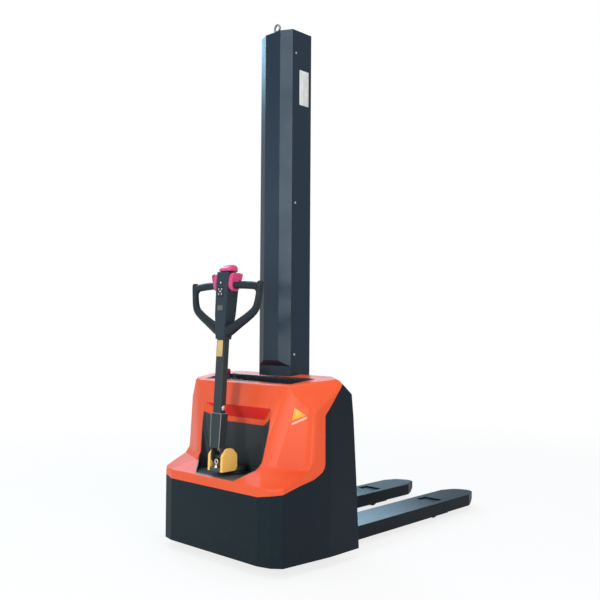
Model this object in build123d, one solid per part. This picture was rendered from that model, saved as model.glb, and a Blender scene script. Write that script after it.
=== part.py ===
from build123d import *
import math
import os

# Electric stacker with a single mast, in millimetres. +Z is up and +Y points along the forks.
# The origin lies on the floor, at the middle of the overall length and width.
# A size that ends in _back is measured from the front of the chassis towards the forks.

# Chassis and skirt
overall_width = 800
floor_gap = 40
skirt_plate = 6
skirt_top = 310
skirt_corner_rise = 16
flat_inset = 126
knee_inset = 67
knee_back = 15.5
bend_inset = 27
bend_back = 48
straight_back = 297
seam = 1

# Side panels, as distance back and height of each corner of the edge
panel_foot_back = 481
panel_rear_edge = [(463, 331), (442, 602), (430, 697)]
panel_cover_edge = [(372, 742), (265, 618), (266, 480), (266, 421), (261, 403), (249, 389), (226, 376),
                    (200, 364), (128, 348)]

# Moulded cover
cover_wall = 5
lip_height = 38
lip_setback = 5
lip_round = 10
ledge_rise = 52
ledge_back = 89
cove = 14
block_half = 195
block_corner_inset = 10
block_corner_back = 185
front_batter = 0.19
corner_batter = 0.07
cover_top = 742
cover_top_back = 170
cover_top_slope = 0.1
shoulder_side_top = 622
shoulder_slope_x = 1.25
shoulder_slope_y = 0.715
far_shoulder_side_top = 638
far_shoulder_slope_x = 2.3
cover_rear_back = 424
cover_rear_half = 300
cover_edge_round = 20
block_crease_round = 260
block_corner_round = 50

# Steering well in the cover and its liner
well_back = 185
well_back_half = 124
well_side_run = 1.7
well_corner = 30
well_floor = 350
well_rim = 642
well_fold = 584
well_foot_half = 188
well_flare = 0.122
well_mouth_half = 122
well_mouth_back = 9
well_ledge_half = 196
well_spread = 0.95
liner_wall = 4
liner_gap = 0.3
liner_edge = 605
liner_edge_back = 121
liner_edge_slope = 0.75
stem_hole_radius = 62

# Storage tray in the top of the cover
tray_half = 268
tray_near_back = 188
tray_length = 146
tray_floor = 697
tray_wall = 4
switch_deck = 738
switch_deck_inner = 150

# Mast
mast_front_back = 338.6
mast_nose_half = 47
mast_nose = 26.1
mast_half = 101
mast_depth = 149
mast_top = 2326
mast_cover_foot = 720
nose_front_foot = 830
nose_rear_foot = 805
mast_sheet = 2
sheet_gap = 0.3
rail_web = 8
rail_flange = 10
rail_reach = 42
rail_depth = 107.6
rail_foot = 60
rail_drop = 26
foot_plate = 12
top_plate = 12
mast_slot_gap = 4
screw_low_gap = 28
screw_top_gap = 105
screw_count = 3
screw_head_radius = 5
screw_head = 2.5
screw_radius = 2.5
screw_length = 9
screw_gap = 0.1
eye_back = 366
eye_radius = 20
eye_hole_radius = 12
eye_width = 9
eye_round = 2.5
eye_collar_radius = 11
eye_collar = 6
eye_rise = 42
eye_neck_radius = 6

# Lift cylinder, ram, sheave and chain
cylinder_back = 412
cylinder_radius = 25
cylinder_bore = 19
cylinder_top = 1200
gland_radius = 28
gland_height = 25
ram_radius = 17.5
ram_foot = 100
running = 0.05
sheave_gap = 0.3
sheave_pitch_radius = 36
sheave_rim = 8
sheave_flange = 3
sheave_axle_radius = 8
sheave_side_gap = 1
sheave_top_gap = 9
chain_width = 16
chain_thickness = 12
bracket_cheek = 6
bracket_half = 20
bracket_base = 12
bracket_gap = 3
chain_anchor_height = 30
chain_anchor_top = 300
chain_pad_gap = 0.3

# Carriage and mast rollers
carriage_gap = 15.4
carriage_plate = 12
carriage_low = 95
cheek_front_back = 414
carriage_top = 450
carriage_tower_half = 100
cheek_plate = 10
cheek_gap = 2.7
roller_width = 28
roller_side_gap = 2.7
roller_gap = 0.3
roller_low = 140
roller_pitch = 240
spindle_radius = 12.5

# Forks
fork_length = 1150
fork_spread = 570
fork_width = 174
fork_top = 88
fork_depth = 59
fork_plate = 6
fork_shank = 25
fork_shank_top = 330
nose_length = 70
nose_tip_half = 14
nose_taper = 128
nose_knee = 76
nose_knee_inset = 24
nose_round = 27
nose_round_half = 42
nose_rise = 26
nose_fall_length = 62
nose_fall = 7
slot_length = 75
slot_width = 102
slot_from_tip = 380

# Support legs and load rollers
leg_gap = 5
leg_roof_gap = 4
leg_bottom = 22
leg_side = 8
leg_roof = 6
leg_overrun = 70
load_roller_radius = 37
load_roller_width = 80
load_roller_from_tip = 390
load_axle_radius = 10
load_roller_side_gap = 5
load_roller_window = 8

# Battery bay
web_inner = 130
web_plate = 8
web_foot = 60
shelf_plate = 8
shelf_inset = 45
shelf_front_back = 60
rear_plate = 6
rear_plate_top = 735
rear_plate_gap = 3
battery_length = 325
battery_width = 170
battery_height = 210
battery_gap = 7

# Stabiliser castors
castor_radius = 37.5
castor_width = 30
castor_back = 185
castor_inset = 135
castor_trail = 22
castor_cheek = 4
castor_cheek_gap = 2
castor_crown = 8
castor_crown_radius = 32
castor_tyre_gap = 14
castor_top_gap = 0.5
castor_pin_radius = 10
castor_axle_radius = 6

# Drive unit and steering head
drive_radius = 100
drive_width = 70
drive_hub_radius = 60
drive_axle_radius = 15
drive_sweep_gap = 8
yoke_gap = 8
yoke_crown = 24
yoke_crown_radius = 100
yoke_cheek = 12
yoke_cheek_half = 42
yoke_side_gap = 3
steer_shaft_radius = 50
bearing_radius = 85
bearing_lip = 13
bearing_lip_height = 6
bearing_drop = 4
bearing_seat_gap = 0.1
motor_length = 46
motor_radius = 45
gearbox_radius = 48
deck_plate = 12
deck_drop = 38
deck_length = 316

# Tiller foot and hinge, the ear's outline as distance back and up from the hinge
tiller_hinge_back = 45
tiller_hinge_height = 430
tiller_lean = 3.5
ear_front = 30
ear_rear = 54
ear_outer = 46
ear_plate = 12
ear_outline = [(54, 12), (28, 38), (-2, 39), (-28, 12)]
ear_round = 18
foot_clear = 24
foot_thick = 12
stem_radius = 48
hinge_radius = 8

# Tiller arm, measured up the arm from the hinge
lug_radius = 25
lug_plate = 9
lug_gap = 1
arm_front = 37
arm_back = 1
arm_box_low = 40
arm_box_high = 185
arm_box_half_low = 28
arm_box_half_high = 32
arm_sheet = 3
tube_half = 24.3
tube_depth = 33
tube_top = 520
arm_cap = 6
tiller_bolt_radius = 5
tiller_bolt_head_radius = 9
tiller_bolt_head = 5
tiller_bolt_up = 207
tiller_bolt_forward = 17.6

# Handle head, grips and controls, measured up the arm from the hinge
head_sections = [
    (496.5, 29, -43.6, 3.4),
    (599.5, 35, -49.6, 16.4),
    (699.5, 36.5, -50.1, 21.9),
    (781.5, 36.5, -47.6, 17.4),
]
head_gap = 0.3
head_corner = 9
grip_up = 726.5
grip_forward = 18.5
grip_radius = 16
grip_straight = 80
grip_half = 207
grip_elbow_up = 721.5
grip_shoulder_half = 190
grip_shoulder_up = 621.5
grip_foot_up = 517
grip_bend = 34
belly_gap = 5
belly_height = 28.5
belly_inset = 4
belly_front_inset = 8.6
belly_rear_inset = 1.4
belly_round = 12
belly_stem_radius = 8
belly_stem = 10
belly_rest = 1
wing_gap = 2.5
wing_width = 36
wing_hub_radius = 27
wing_bore_gap = 0.3
wing_pad_height = 50
wing_pad_half = 8
wing_fin = 25
wing_fin_height = 44
link_radius = 4
link_offset = 22
link_gap = 1.5
throttle_swing = 25
horn_up = 734.5
horn_radius = 8
horn_proud = 3
horn_depth = 9
horn_gap = 0.3
rocker_up = 695.5
rocker_half_width = 14
rocker_half_height = 17
rocker_proud = 3
rocker_depth = 8
rocker_gap = 1
rocker_end_gap = 2
rocker_room = 6
rocker_pin_radius = 2.5
rocker_pin_reach = 4

# Switches on the deck at the left end of the tray
switch_place = -198
stop_back = 248
stop_radius = 20
stop_height = 26
stop_round = 8
stop_gap = 24
stop_stem_radius = 11
stop_stem_below = 12
key_back = 300
key_radius = 9
key_below = 10
key_rise = 8
key_bow_height = 18
key_bow_width = 20
key_bow_thick = 3

# Power pack inside the upper cover
pack_floor_gap = 10
tank_width = 140
tank_length = 120
tank_height = 180
tank_inset = 25
pump_radius = 48
pump_height = 220
pump_gap = 12
controller_width = 130
controller_height = 120
pump_foot = 60
controller_length = 110

# Values that follow from the sizes above
half_width = overall_width / 2
mast_shoulder_back = mast_front_back + mast_nose
mast_rear_back = mast_front_back + mast_depth
heel_back = mast_rear_back + carriage_gap + carriage_plate + fork_shank
overall_length = heel_back + fork_length
front = -overall_length / 2
tip = overall_length / 2
flat_half = half_width - flat_inset
brim_edge = skirt_top + skirt_corner_rise * flat_inset / (flat_inset - bend_inset)
lip_top = skirt_top + lip_height
ledge_top = lip_top + ledge_rise
block_corner = half_width - block_corner_inset
rear_y = front + cover_rear_back
drive_sweep = math.hypot(drive_radius, drive_width / 2)
steer_y = front + skirt_plate + drive_sweep_gap + drive_sweep
mast_front_y = front + mast_front_back
shoulder_y = front + mast_shoulder_back
mast_rear_y = front + mast_rear_back
rail_outer = mast_half - mast_sheet - sheet_gap
rail_inner = rail_outer - rail_web
rail_tip = rail_outer - rail_reach
rail_y = mast_rear_y - rail_depth
rail_top = mast_top - rail_drop
screw_y = rail_y + rail_flange / 2
screw_low = nose_front_foot + screw_low_gap
screw_pitch = (mast_top - screw_top_gap - screw_low) / (screw_count - 1)
roller_radius = rail_depth / 2 - rail_flange - roller_gap
roller_y = mast_rear_y - rail_depth / 2
roller_outer = rail_inner - roller_side_gap
cheek_outer = rail_tip - cheek_gap
cheek_inner = cheek_outer - cheek_plate
carriage_y = mast_rear_y + carriage_gap
shank_y = carriage_y + carriage_plate
heel_y = shank_y + fork_shank
cylinder_y = front + cylinder_back
gland_top = cylinder_top + gland_height
bracket_low = gland_top + bracket_gap
bracket_inner = chain_width / 2 + sheave_gap + sheave_flange + sheave_side_gap
bracket_outer = bracket_inner + bracket_cheek
sheave_radius = sheave_pitch_radius + sheave_rim
sheave_z = bracket_low + bracket_base + sheave_radius + sheave_top_gap
chain_inner = sheave_pitch_radius - chain_thickness / 2
chain_outer = sheave_pitch_radius + chain_thickness / 2
fork_outer = fork_spread / 2
fork_inner = fork_outer - fork_width
fork_centre = fork_outer - fork_width / 2
fork_bottom = fork_top - fork_depth
leg_outer = fork_outer - fork_plate - leg_gap
leg_inner = fork_inner + fork_plate + leg_gap
leg_top = fork_top - fork_plate - leg_roof_gap
load_y = tip - load_roller_from_tip
web_outer = web_inner + web_plate
plate_y = rear_y - rear_plate
castor_x = half_width - castor_inset
castor_y = front + castor_back
crown_low = 2 * castor_radius + castor_tyre_gap
shelf_low = crown_low + castor_crown + castor_top_gap
shelf_top = shelf_low + shelf_plate
battery_top = shelf_top + battery_height
pack_low = battery_top + pack_floor_gap
deck_top = well_floor - deck_drop
deck_low = deck_top - deck_plate
yoke_low = 2 * drive_radius + yoke_gap
yoke_top = yoke_low + yoke_crown
yoke_inner = drive_width / 2 + yoke_side_gap
yoke_outer = yoke_inner + yoke_cheek
flange_top = deck_top + bearing_lip_height
shaft_top = flange_top + bearing_drop
hinge_y = front + tiller_hinge_back
foot_low = well_floor + foot_clear
foot_top = foot_low + foot_thick
ear_inner = ear_outer - ear_plate
lug_outer = ear_inner - lug_gap
tube_back = tube_depth - arm_front
arm_frame = Pos(0, hinge_y, tiller_hinge_height) * Rot(-tiller_lean, 0, 0)
grip_y = -grip_forward
tray_y = front + tray_near_back
stop_y = front + stop_back
key_y = front + key_back


def block(x0, x1, y0, y1, z0, z1):
    return Pos((x0 + x1) / 2, (y0 + y1) / 2, (z0 + z1) / 2) * Box(x1 - x0, y1 - y0, z1 - z0)


def rod_x(y, z, radius, x0, x1):
    return Pos((x0 + x1) / 2, y, z) * Rot(0, 90, 0) * Cylinder(radius, x1 - x0)


def rod_y(x, z, radius, y0, y1):
    return Pos(x, (y0 + y1) / 2, z) * Rot(90, 0, 0) * Cylinder(radius, y1 - y0)


def rod_z(x, y, radius, z0, z1):
    return Pos(x, y, (z0 + z1) / 2) * Cylinder(radius, z1 - z0)


def upright(outline, z0, z1):
    return extrude(Pos(0, 0, z0) * Polygon(*outline), amount=z1 - z0, dir=(0, 0, 1))


def across(outline, x0, x1):
    return extrude(Plane.YZ.offset(x0) * Polygon(*outline), amount=x1 - x0, dir=(1, 0, 0))


def tapered(half_low, half_high, y0, y1, z0, z1):
    outline = [(-half_low, z0), (half_low, z0), (half_high, z1), (-half_high, z1)]
    return extrude(Plane.XZ.offset(-y0) * Polygon(*outline), amount=y1 - y0, dir=(0, 1, 0))


def mirrored(shape):
    return mirror(shape, about=Plane.YZ)


def offset_path(points, distance):
    normals = []
    for (x0, y0), (x1, y1) in zip(points, points[1:]):
        length = math.hypot(x1 - x0, y1 - y0)
        normals.append(((y0 - y1) / length, (x1 - x0) / length))
    moved = []
    for index, (x, y) in enumerate(points):
        ax, ay = normals[max(index - 1, 0)]
        bx, by = normals[min(index, len(normals) - 1)]
        scale = distance / (1 + ax * bx + ay * by)
        moved.append((x + (ax + bx) * scale, y + (ay + by) * scale))
    return moved


def trim(shape, p, q, r, inside, inset):
    normal = (Vector(*q) - Vector(*p)).cross(Vector(*r) - Vector(*p)).normalized()
    if normal.dot(Vector(*inside) - Vector(*p)) > 0:
        normal = -normal
    plane = Plane(origin=Vector(*p) - normal * inset, z_dir=normal)
    return split(shape, bisect_by=plane, keep=Keep.BOTTOM)


# Skirt and side panels

def skirt_path(rear):
    right = [
        (half_width - flat_inset, front),
        (half_width - knee_inset, front + knee_back),
        (half_width - bend_inset, front + bend_back),
        (half_width, front + straight_back),
        (half_width, rear),
    ]
    return [(-x, y) for x, y in reversed(right)] + right


def skirt_band(outside, inside, first, last):
    path = skirt_path(front + panel_foot_back)
    outer = offset_path(path, -outside)[first:last]
    inner = offset_path(path, inside)[first:last]
    return outer + list(reversed(inner))


def skirt_brim(closing):
    far = [(-half_width, brim_edge), (-flat_half, skirt_top)]
    near = [(flat_half, skirt_top), (half_width, brim_edge)]
    face = Plane.XZ.offset(seam - front) * Polygon(*far, *near, *closing)
    return extrude(face, amount=bend_back + skirt_plate + 2 * seam, dir=(0, 1, 0))


def front_skirt():
    band = skirt_band(0, skirt_plate, 2, 8)
    above = skirt_brim([(half_width, cover_top), (-half_width, cover_top)])
    return upright(band, floor_gap, brim_edge) - above


def panel_face(gap):
    corners = [(bend_back, floor_gap), (panel_foot_back, floor_gap)] + panel_rear_edge
    corners = corners + panel_cover_edge + [(bend_back, skirt_top + skirt_corner_rise)]
    face = Polygon(*[(front + back, height) for back, height in corners])
    return offset(face, amount=gap, kind=Kind.INTERSECTION) if gap else face


def panel_prism(gap):
    low = half_width - flat_inset
    return extrude(Plane.YZ.offset(low) * panel_face(gap), amount=overall_width, dir=(1, 0, 0))


def side_panel():
    peak = panel_cover_edge[0][1]
    return upright(skirt_band(0, skirt_plate, 7, 10), floor_gap, peak) & panel_prism(0)


def panel_space():
    band = skirt_band(cover_edge_round, skirt_plate + seam, 7, 10)
    return upright(band, skirt_top - lip_height, cover_top + ledge_rise) & panel_prism(seam)


# Moulded cover

def steep_edges(body):
    limit = (front + block_corner_back + rear_y) / 2
    lines = [e for e in body.edges().filter_by(GeomType.LINE) if e.center().Y < limit]
    return [e for e in lines if e.bounding_box().size.Z > lip_height + ledge_rise]


def rear_corner(body, side, inset):
    rear_top = cover_top + cover_top_slope * (cover_rear_back - cover_top_back)
    peak_back, peak = panel_cover_edge[0]
    corner_back, corner = panel_rear_edge[-1]
    return trim(body, (side * half_width, front + peak_back, peak),
                (side * half_width, front + corner_back, corner),
                (side * cover_rear_half, rear_y, rear_top), (0, rear_y, ledge_top), inset)


def cover_block(inset):
    shoulders = {
        1: (shoulder_side_top, shoulder_slope_x),
        -1: (far_shoulder_side_top, far_shoulder_slope_x),
    }
    middle = (0, rear_y, ledge_top)
    low = skirt_top - cover_wall
    high = cover_top + 2 * cover_edge_round
    rise = high - ledge_top
    front_y = front + ledge_back
    corner_y = front + block_corner_back
    top_y = front + cover_top_back
    body = block(-half_width + inset, half_width - inset, front, rear_y + inset, low, high)
    body = trim(body, (0, front_y, ledge_top), (1, front_y, ledge_top),
                (0, front_y + front_batter * rise, high), middle, inset)
    body = trim(body, (0, top_y, cover_top), (1, top_y, cover_top),
                (0, top_y + 1, cover_top + cover_top_slope), middle, inset)
    for side in (-1, 1):
        edge = (side * block_corner, corner_y, ledge_top)
        body = trim(body, (side * block_half, front_y, ledge_top), edge,
                    (side * block_corner, corner_y + corner_batter * rise, high), middle, inset)
        body = trim(body, edge, (side * half_width, front + straight_back, ledge_top),
                    (side * block_corner, corner_y, high), middle, inset)
        low_side, slope = shoulders[side]
        body = trim(body, (side * block_corner, corner_y, low_side),
                    (side * (block_corner - 1), corner_y, low_side + slope),
                    (side * block_corner, corner_y + 1, low_side + shoulder_slope_y), middle, inset)
        body = rear_corner(body, side, inset)
    divide = (block_half + block_corner) / 2
    body = fillet([e for e in steep_edges(body) if abs(e.center().X) < divide], block_crease_round - inset)
    body = fillet([e for e in steep_edges(body) if abs(e.center().X) > divide], block_corner_round - inset)
    crown = [e for e in body.edges() if e.center().Z > shoulder_side_top and e.center().Y < rear_y - seam]
    return fillet(crown, cover_edge_round - inset)


def cover_ledge(inset):
    middle = (0, rear_y, skirt_top)
    low = skirt_top - inset
    body = upright(offset_path(skirt_path(rear_y + inset), inset), low, ledge_top + ledge_rise)
    body = trim(body, (0, front + lip_setback, lip_top), (1, front + lip_setback, lip_top),
                (0, front + ledge_back, ledge_top), middle, inset)
    for side in (-1, 1):
        body = trim(body, (side * block_half, front + ledge_back, ledge_top),
                    (side * block_corner, front + block_corner_back, ledge_top),
                    (side * (half_width - bend_inset), front + bend_back, lip_top), middle, inset)
    raised = [e for e in body.edges() if e.center().Z > lip_top - lip_round]
    rim = [e for e in raised if e.center().Y < front + bend_back]
    return fillet(rim, lip_round - inset)


def cover_cove(inset):
    middle = (0, rear_y, skirt_top)
    plan = offset_path(skirt_path(rear_y + inset), inset)
    body = upright(plan, skirt_top - inset, ledge_top + ledge_rise)
    foot_y = front + ledge_back
    corner_y = front + block_corner_back
    high = ledge_top + cove
    low = ledge_top - cove * ledge_rise / (ledge_back - lip_setback)
    body = trim(body, (0, foot_y - cove, low), (1, foot_y - cove, low),
                (0, foot_y + front_batter * cove, high), middle, inset)
    for side in (-1, 1):
        middle_x = side * (block_half + block_corner) / 2
        middle_y = (foot_y + corner_y) / 2
        run_x = side * (half_width - bend_inset) - middle_x
        run_y = front + bend_back - middle_y
        share = cove / math.hypot(run_x, run_y)
        foot = (middle_x + share * run_x, middle_y + share * run_y, ledge_top - share * ledge_rise)
        body = trim(body, (side * block_half, foot_y + corner_batter * cove, high),
                    (side * block_corner, corner_y + corner_batter * cove, high), foot, middle, inset)
        body = trim(body, (side * block_corner, corner_y, ledge_top),
                    (side * half_width, front + straight_back, ledge_top),
                    (side * block_corner, corner_y, high), middle, inset)
    return body


def cover_solid(inset):
    return cover_block(inset) + cover_ledge(inset) + cover_cove(inset)


def well_space(grow):
    low = well_floor - grow
    high = well_rim + grow
    foot = well_foot_half + grow
    brow = foot + well_flare * (high - low)
    rear = front + well_back + 2 * cover_wall
    space = tapered(foot, brow, front - 2 * cover_wall, rear, low, high)
    reach = well_back_half + well_side_run * (well_back + 2 * cover_wall)
    back = [(-reach, front - 2 * cover_wall), (-well_back_half, front + well_back)]
    back = back + [(-x, y) for x, y in reversed(back)]
    space = space & upright(offset_path(back, grow), low, high)
    tall = [e for e in space.edges() if e.bounding_box().size.Z > (high - low) / 2]
    corners = [e for e in tall if e.center().Y > front + ledge_back]
    space = fillet(corners, well_corner + grow)
    mouth = [
        (well_mouth_half, front - cover_wall),
        (well_mouth_half, front + well_mouth_back),
        (well_ledge_half, front + ledge_back),
        (well_ledge_half + well_spread * (well_back - ledge_back), rear),
    ]
    mouth = [(-x, y) for x, y in reversed(mouth)] + mouth
    space = space & upright(offset_path(mouth, -grow), low, high)
    brow_y = front + ledge_back + front_batter * (well_rim - ledge_top)
    fold = (0, front + well_back, well_fold)
    return trim(space, (0, brow_y, well_rim), (1, brow_y, well_rim), fold, (0, brow_y, well_floor), -grow)


def stem_hole():
    return rod_z(0, steer_y, stem_hole_radius, deck_top, foot_low)


def tray_space():
    return block(-tray_half, tray_half, tray_y, tray_y + tray_length, tray_floor - tray_wall, 2 * cover_top)


def upper_cover(outer):
    inner = cover_solid(cover_wall)
    mast_slot = block(-mast_half - mast_slot_gap, mast_half + mast_slot_gap, shoulder_y - mast_slot_gap,
                      rear_y + seam, skirt_top, 2 * cover_top)
    panels = panel_space()
    shell = outer - inner + (well_space(cover_wall) & outer)
    shell = shell - well_space(0) - stem_hole() - tray_space() - mast_slot - panels - mirrored(panels)
    return shell - skirt_brim([(half_width, floor_gap), (-half_width, floor_gap)])


def steering_well_liner(outer):
    shell = well_space(-liner_gap) - well_space(-liner_gap - liner_wall)
    shell = (Pos(0, 0, -liner_gap) * shell) & outer
    edge_y = front + liner_edge_back
    shell = trim(shell, (0, edge_y, liner_edge), (1, edge_y, liner_edge),
                 (0, edge_y + 1, liner_edge - liner_edge_slope), (0, edge_y, well_floor), 0)
    return shell - stem_hole()


def storage_tray(outer):
    near = tray_y + tray_wall
    far = tray_y + tray_length - tray_wall
    edge = tray_half - tray_wall
    tub = tray_space() & outer
    tub = tub - block(-switch_deck_inner, edge, near, far, tray_floor, 2 * cover_top)
    tub = tub - block(-edge, -switch_deck_inner, near, far, switch_deck, 2 * cover_top)
    tub = tub - block(-edge, -switch_deck_inner - tray_wall, near, far,
                      tray_floor - tray_wall, switch_deck - tray_wall)
    low = switch_deck - 2 * tray_wall
    tub = tub - rod_z(switch_place, stop_y, stop_stem_radius + running, low, switch_deck)
    return tub - rod_z(switch_place, key_y, key_radius + running, low, switch_deck)


# Mast and lift

def mast_rail():
    rail = block(rail_tip, rail_outer, rail_y, mast_rear_y, rail_foot, rail_top)
    rail = rail - block(rail_tip, rail_inner, rail_y + rail_flange, mast_rear_y - rail_flange,
                        rail_foot, rail_top)
    for step in range(screw_count):
        height = screw_low + step * screw_pitch
        rail = rail - rod_x(screw_y, height, screw_radius, rail_outer - screw_length, rail_outer)
    return rail


def mast_body(inset, reach):
    path = [(-mast_half, mast_rear_y + reach), (-mast_half, shoulder_y), (-mast_nose_half, mast_front_y)]
    path = path + [(-x, y) for x, y in reversed(path)]
    upper = upright(offset_path(path, inset), mast_cover_foot - reach, mast_top + reach)
    upper = trim(upper, (0, mast_front_y, nose_front_foot), (1, mast_front_y, nose_front_foot),
                 (0, shoulder_y, nose_rear_foot), (0, mast_rear_y, mast_top), inset)
    half = mast_half - inset
    return upper + block(-half, half, shoulder_y + inset, mast_rear_y + reach,
                         mast_cover_foot - reach, nose_front_foot)


def mast_cover():
    sheet = mast_body(0, 0) - mast_body(mast_sheet, mast_sheet)
    for step in range(screw_count):
        height = screw_low + step * screw_pitch
        sheet = sheet - rod_x(screw_y, height, screw_radius + screw_gap, -half_width, half_width)
    return sheet


def mast_cover_screws():
    screws = []
    for step in range(screw_count):
        height = screw_low + step * screw_pitch
        screw = rod_x(screw_y, height, screw_radius, rail_outer - screw_length, mast_half)
        screw = screw + rod_x(screw_y, height, screw_head_radius, mast_half, mast_half + screw_head)
        screws = screws + [screw, mirrored(screw)]
    return Compound(children=screws)


def mast_top_plate():
    inset = mast_sheet + sheet_gap
    path = [(-mast_half, mast_rear_y), (-mast_half, shoulder_y), (-mast_nose_half, mast_front_y)]
    path = path + [(-x, y) for x, y in reversed(path)]
    return upright(offset_path(path, inset), rail_top, rail_top + top_plate)


def mast_foot():
    plate = block(-rail_outer, rail_outer, shoulder_y, mast_rear_y, rail_foot - foot_plate, rail_foot)
    plate = plate + block(-web_outer, web_outer, shoulder_y, plate_y, rail_foot - foot_plate, rail_foot)
    run_y = cylinder_y - sheave_pitch_radius
    pad = block(-chain_width, chain_width, run_y - chain_thickness / 2, run_y + chain_thickness / 2,
                rail_foot, rail_foot + chain_anchor_height)
    return plate + pad


def lifting_eye():
    base = rail_top + top_plate
    centre = base + eye_rise
    eye_y = front + eye_back
    ring = rod_y(0, centre, eye_radius, eye_y - eye_width / 2, eye_y + eye_width / 2)
    ring = ring - rod_y(0, centre, eye_hole_radius, eye_y - eye_width / 2, eye_y + eye_width / 2)
    ring = fillet(ring.edges().filter_by(GeomType.CIRCLE), eye_round)
    neck = rod_z(0, eye_y, eye_neck_radius, base, centre - eye_hole_radius - eye_round)
    return ring + neck + rod_z(0, eye_y, eye_collar_radius, base, base + eye_collar)


def lift_cylinder():
    tube = rod_z(0, cylinder_y, cylinder_radius, rail_foot, cylinder_top)
    tube = tube + rod_z(0, cylinder_y, gland_radius, cylinder_top, gland_top)
    tube = tube - rod_z(0, cylinder_y, cylinder_bore, rail_foot + foot_plate, cylinder_top)
    return tube - rod_z(0, cylinder_y, ram_radius + running, cylinder_top, gland_top)


def lift_ram():
    rod = rod_z(0, cylinder_y, ram_radius, ram_foot, bracket_low)
    base = rod + block(-bracket_outer, bracket_outer, cylinder_y - bracket_half, cylinder_y + bracket_half,
                       bracket_low, bracket_low + bracket_base)
    for side in (-1, 1):
        x0, x1 = sorted((side * bracket_inner, side * bracket_outer))
        base = base + block(x0, x1, cylinder_y - bracket_half, cylinder_y + bracket_half,
                            bracket_low, sheave_z)
        base = base + rod_x(cylinder_y, sheave_z, bracket_half, x0, x1)
    return base + rod_x(cylinder_y, sheave_z, sheave_axle_radius, -bracket_inner, bracket_inner)


def chain_sheave():
    groove = chain_width / 2 + sheave_gap
    wheel = rod_x(cylinder_y, sheave_z, chain_inner - sheave_gap, -groove, groove)
    for side in (-1, 1):
        x0, x1 = sorted((side * groove, side * (groove + sheave_flange)))
        wheel = wheel + rod_x(cylinder_y, sheave_z, sheave_radius, x0, x1)
    return wheel - rod_x(cylinder_y, sheave_z, sheave_axle_radius + running, -bracket_inner, bracket_inner)


def lift_chain():
    half = chain_width / 2
    wrap = rod_x(cylinder_y, sheave_z, chain_outer, -half, half)
    wrap = wrap - rod_x(cylinder_y, sheave_z, chain_inner, -half, half)
    wrap = wrap & block(-half, half, cylinder_y - chain_outer, cylinder_y + chain_outer,
                        sheave_z, sheave_z + chain_outer)
    down = block(-half, half, cylinder_y - chain_outer, cylinder_y - chain_inner,
                 rail_foot + chain_anchor_height + chain_pad_gap, sheave_z)
    up = block(-half, half, cylinder_y + chain_inner, cylinder_y + chain_outer,
               chain_anchor_top + chain_pad_gap, sheave_z)
    return wrap + down + up


# Carriage and forks

def carriage_frame():
    frame = block(-fork_outer, fork_outer, carriage_y, shank_y, carriage_low, fork_shank_top)
    frame = frame + block(-carriage_tower_half, carriage_tower_half, carriage_y, shank_y,
                          fork_shank_top, carriage_top)
    frame = frame + block(-cheek_inner, cheek_inner, cylinder_y + chain_inner, cylinder_y + chain_outer,
                          chain_anchor_top - chain_anchor_height, chain_anchor_top)
    for side in (-1, 1):
        x0, x1 = sorted((side * cheek_inner, side * cheek_outer))
        frame = frame + block(x0, x1, front + cheek_front_back, carriage_y, carriage_low, carriage_top)
        x0, x1 = sorted((side * cheek_inner, side * roller_outer))
        for step in range(2):
            frame = frame + rod_x(roller_y, roller_low + step * roller_pitch, spindle_radius, x0, x1)
    return frame


def mast_roller(step):
    height = roller_low + step * roller_pitch
    roller_near = roller_outer - roller_width
    wheel = rod_x(roller_y, height, roller_radius, roller_near, roller_outer)
    return wheel - rod_x(roller_y, height, spindle_radius + running, roller_near, roller_outer)


def fork():
    plan = [
        (fork_inner, shank_y),
        (fork_outer, shank_y),
        (fork_outer, tip - nose_taper),
        (fork_outer - nose_knee_inset, tip - nose_knee),
        (fork_centre + nose_round_half, tip - nose_round),
        (fork_centre + nose_tip_half, tip),
        (fork_centre - nose_tip_half, tip),
        (fork_centre - nose_round_half, tip - nose_round),
        (fork_inner + nose_knee_inset, tip - nose_knee),
        (fork_inner, tip - nose_taper),
    ]
    blade = upright(plan, fork_bottom, fork_top)
    room = [
        (fork_inner + fork_plate, shank_y),
        (fork_outer - fork_plate, shank_y),
        (fork_outer - fork_plate, tip - nose_taper - fork_plate),
        (fork_outer - nose_knee_inset - fork_plate, tip - nose_knee - fork_plate),
        (fork_inner + nose_knee_inset + fork_plate, tip - nose_knee - fork_plate),
        (fork_inner + fork_plate, tip - nose_taper - fork_plate),
    ]
    blade = blade - upright(room, fork_bottom - fork_plate, fork_top - fork_plate)
    blade = trim(blade, (0, tip - nose_length, fork_bottom), (1, tip - nose_length, fork_bottom),
                 (0, tip, fork_bottom + nose_rise), (0, tip - nose_length, fork_top), 0)
    fall_y = tip - nose_fall_length
    blade = trim(blade, (0, fall_y, fork_top), (1, fall_y, fork_top),
                 (0, tip, fork_top - nose_fall), (0, fall_y, fork_bottom), 0)
    slot_y = tip - slot_from_tip
    slot = block(fork_centre - slot_width / 2, fork_centre + slot_width / 2,
                 slot_y - slot_length / 2, slot_y + slot_length / 2, fork_top - 2 * fork_plate, fork_top)
    shank = block(fork_inner, fork_outer, shank_y, heel_y, fork_top - fork_plate, fork_shank_top)
    return blade - slot + shank


# Legs, chassis and running gear

def leg():
    end_y = load_y + leg_overrun
    channel = block(leg_inner, leg_outer, rear_y, end_y, leg_bottom, leg_top)
    channel = channel - block(leg_inner + leg_side, leg_outer - leg_side,
                              rear_y + leg_side, end_y - leg_side, leg_bottom, leg_top - leg_roof)
    half = load_roller_width / 2 + load_roller_side_gap
    reach = load_roller_radius + load_roller_window
    channel = channel - block(fork_centre - half, fork_centre + half, load_y - reach, load_y + reach,
                              leg_bottom, leg_top)
    return channel - rod_x(load_y, load_roller_radius, load_axle_radius, leg_inner, leg_outer)


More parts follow.
